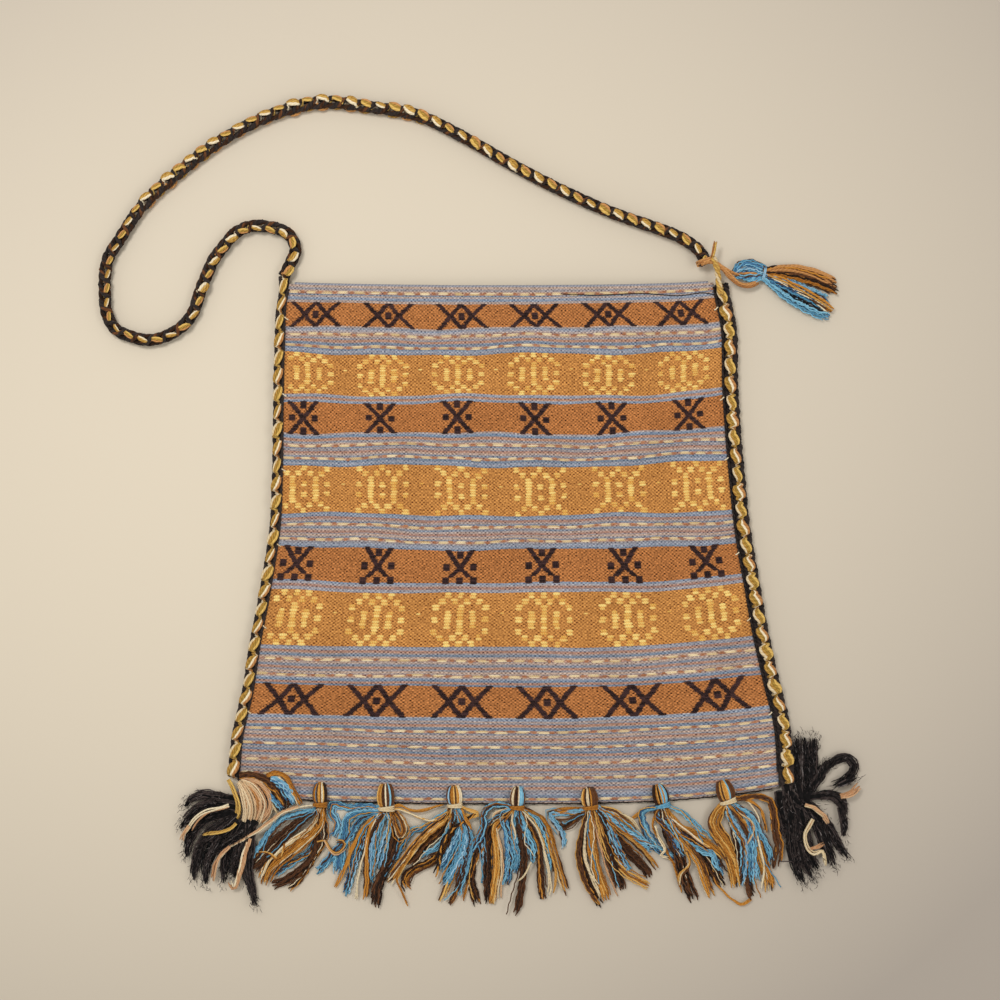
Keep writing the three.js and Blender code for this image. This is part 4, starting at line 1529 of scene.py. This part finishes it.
# A cream stitch: how far inside the side its points lie, and how far above its level
STITCH_INSETS = np.array([2.6, 1.2, 0.2])
STITCH_RISES = np.array([0.0, 0.7, 1.6])
HEM_POINTS = 150
LOOSE_THREAD = ((560, 296), (600, 297), (640, 295), (676, 297), (700, 294), (714, 296))


def make_sewing():
    """Stitches that join braid and cloth, the dark cord on the fold that is partly painted shadow under its
    edge, the mouth's hem and a loose thread.
    """
    work = Work()
    drop = np.linspace(3.0, 298.0, 230)
    width = cloth_width(drop)
    for u in (SEAM_INSET / width, 1 - SEAM_INSET / width):
        seam = on_front(u, drop, 0.2)
        add_twist(work, seam, reach=0.4, pitch=6.0, radius=0.55, colours=("black", "black"))
    for u in (0.0, 1.0):
        for level in np.arange(20.0, 290.0, 46.0) + RANDOM.normal(0, 8, 6):
            near = abs(u - STITCH_INSETS / float(np.interp(level, drop, width)))
            stitch = on_front(near, level - STITCH_RISES, 0.9)
            work.yarn(smooth_line(stitch, 0.7), 0.4, "cream", sides=5)

    u = np.linspace(0.012, 0.988, HEM_POINTS)
    x, y = cloth_plan(u, np.full(HEM_POINTS, CLOTH_DEPTH))
    wave = 0.25 * np.sin(np.arange(HEM_POINTS) * 1.9)
    # A black cord along the fold: dark thread on the edge, and painted shadow under it
    work.yarn(np.column_stack([x, y - 0.1 + wave, 2.5 + wave]), 0.85, "black")
    mouth = np.zeros(HEM_POINTS)
    x, y = cloth_plan(u, mouth)
    for height in (front_height(u, mouth) - 1.0, back_height(u, mouth) + 1.0):
        work.yarn(np.column_stack([x, y + 0.2, height]), 1.1, "hem")

    flat = smooth_line(routed(LOOSE_THREAD), 2.0)
    level = MOUTH_Y - flat[:, 1] + 2.0
    place = np.clip((flat[:, 0] - outline_at("left", level)) / cloth_width(level), 0, 1)
    work.yarn(np.column_stack([flat, front_height(place, level) + 0.35]), 0.3, "black", sides=5)
    dress(work.make("sewing_yarn"), "woven_cloth")


# Camera, light and the surface it lies on

CAMERA_PLACE = (-10.8 * MM, 60.4 * MM, 1.167)
CAMERA_LENS = 70
CAMERA_SENSOR = 36
FLOOR_HALF = 20000.0
# Lamps, in metres and watts: place, width and power
LAMPS = {
    "window_light": ((-0.45, 0.55, 1.5), 0.5, 17.0),
    "room_light": ((0.9, -0.2, 1.5), 1.2, 11.3),
}
ROOM_COLOUR = (250, 248, 244)
ROOM_STRENGTH = 0.56


def make_setting():
    scene = bpy.context.scene
    camera = bpy.data.objects.new("camera", bpy.data.cameras.new("camera"))
    camera.data.lens = CAMERA_LENS
    camera.data.sensor_width = CAMERA_SENSOR
    camera.location = CAMERA_PLACE
    scene.collection.objects.link(camera)
    scene.camera = camera

    floor = Work()
    corners = [[(x, y, 0.0) for x in (-FLOOR_HALF, FLOOR_HALF)] for y in (FLOOR_HALF, -FLOOR_HALF)]
    floor.grid(np.array(corners), np.zeros((2, 2, 2)), "floor")
    floor.make("floor")

    for name, (place, width, power) in LAMPS.items():
        lamp = bpy.data.objects.new(name, bpy.data.lights.new(name, "AREA"))
        lamp.data.size = width
        lamp.data.energy = power
        lamp.location = place
        aim = -np.array(place)
        pitch = math.acos(-aim[2] / np.linalg.norm(aim))
        lamp.rotation_euler = (pitch, 0, math.atan2(aim[0], -aim[1]))
        scene.collection.objects.link(lamp)
    world = bpy.data.worlds.new("soft_room")
    world.use_nodes = True
    background = world.node_tree.nodes["Background"]
    background.inputs["Color"].default_value = linear(*ROOM_COLOUR)
    background.inputs["Strength"].default_value = ROOM_STRENGTH
    scene.world = world
    scene.view_settings.view_transform = "Standard"


make_setting()
strap = make_braids()
tie = make_strap_tie()
strap_tassel = make_strap_tassel()
cloth = make_cloth()
make_brocade()
make_bottom_tassels()
make_corner("left_corner_tassel", "corner_tassel_left", LEFT_LOCKS, LEFT_PALE_STRANDS)
make_corner("right_corner_tassel", "corner_tassel_right", RIGHT_LOCKS, RIGHT_PALE_STRANDS)
make_corner_knot()
make_sewing()

route = strap_line(4.0) * MM
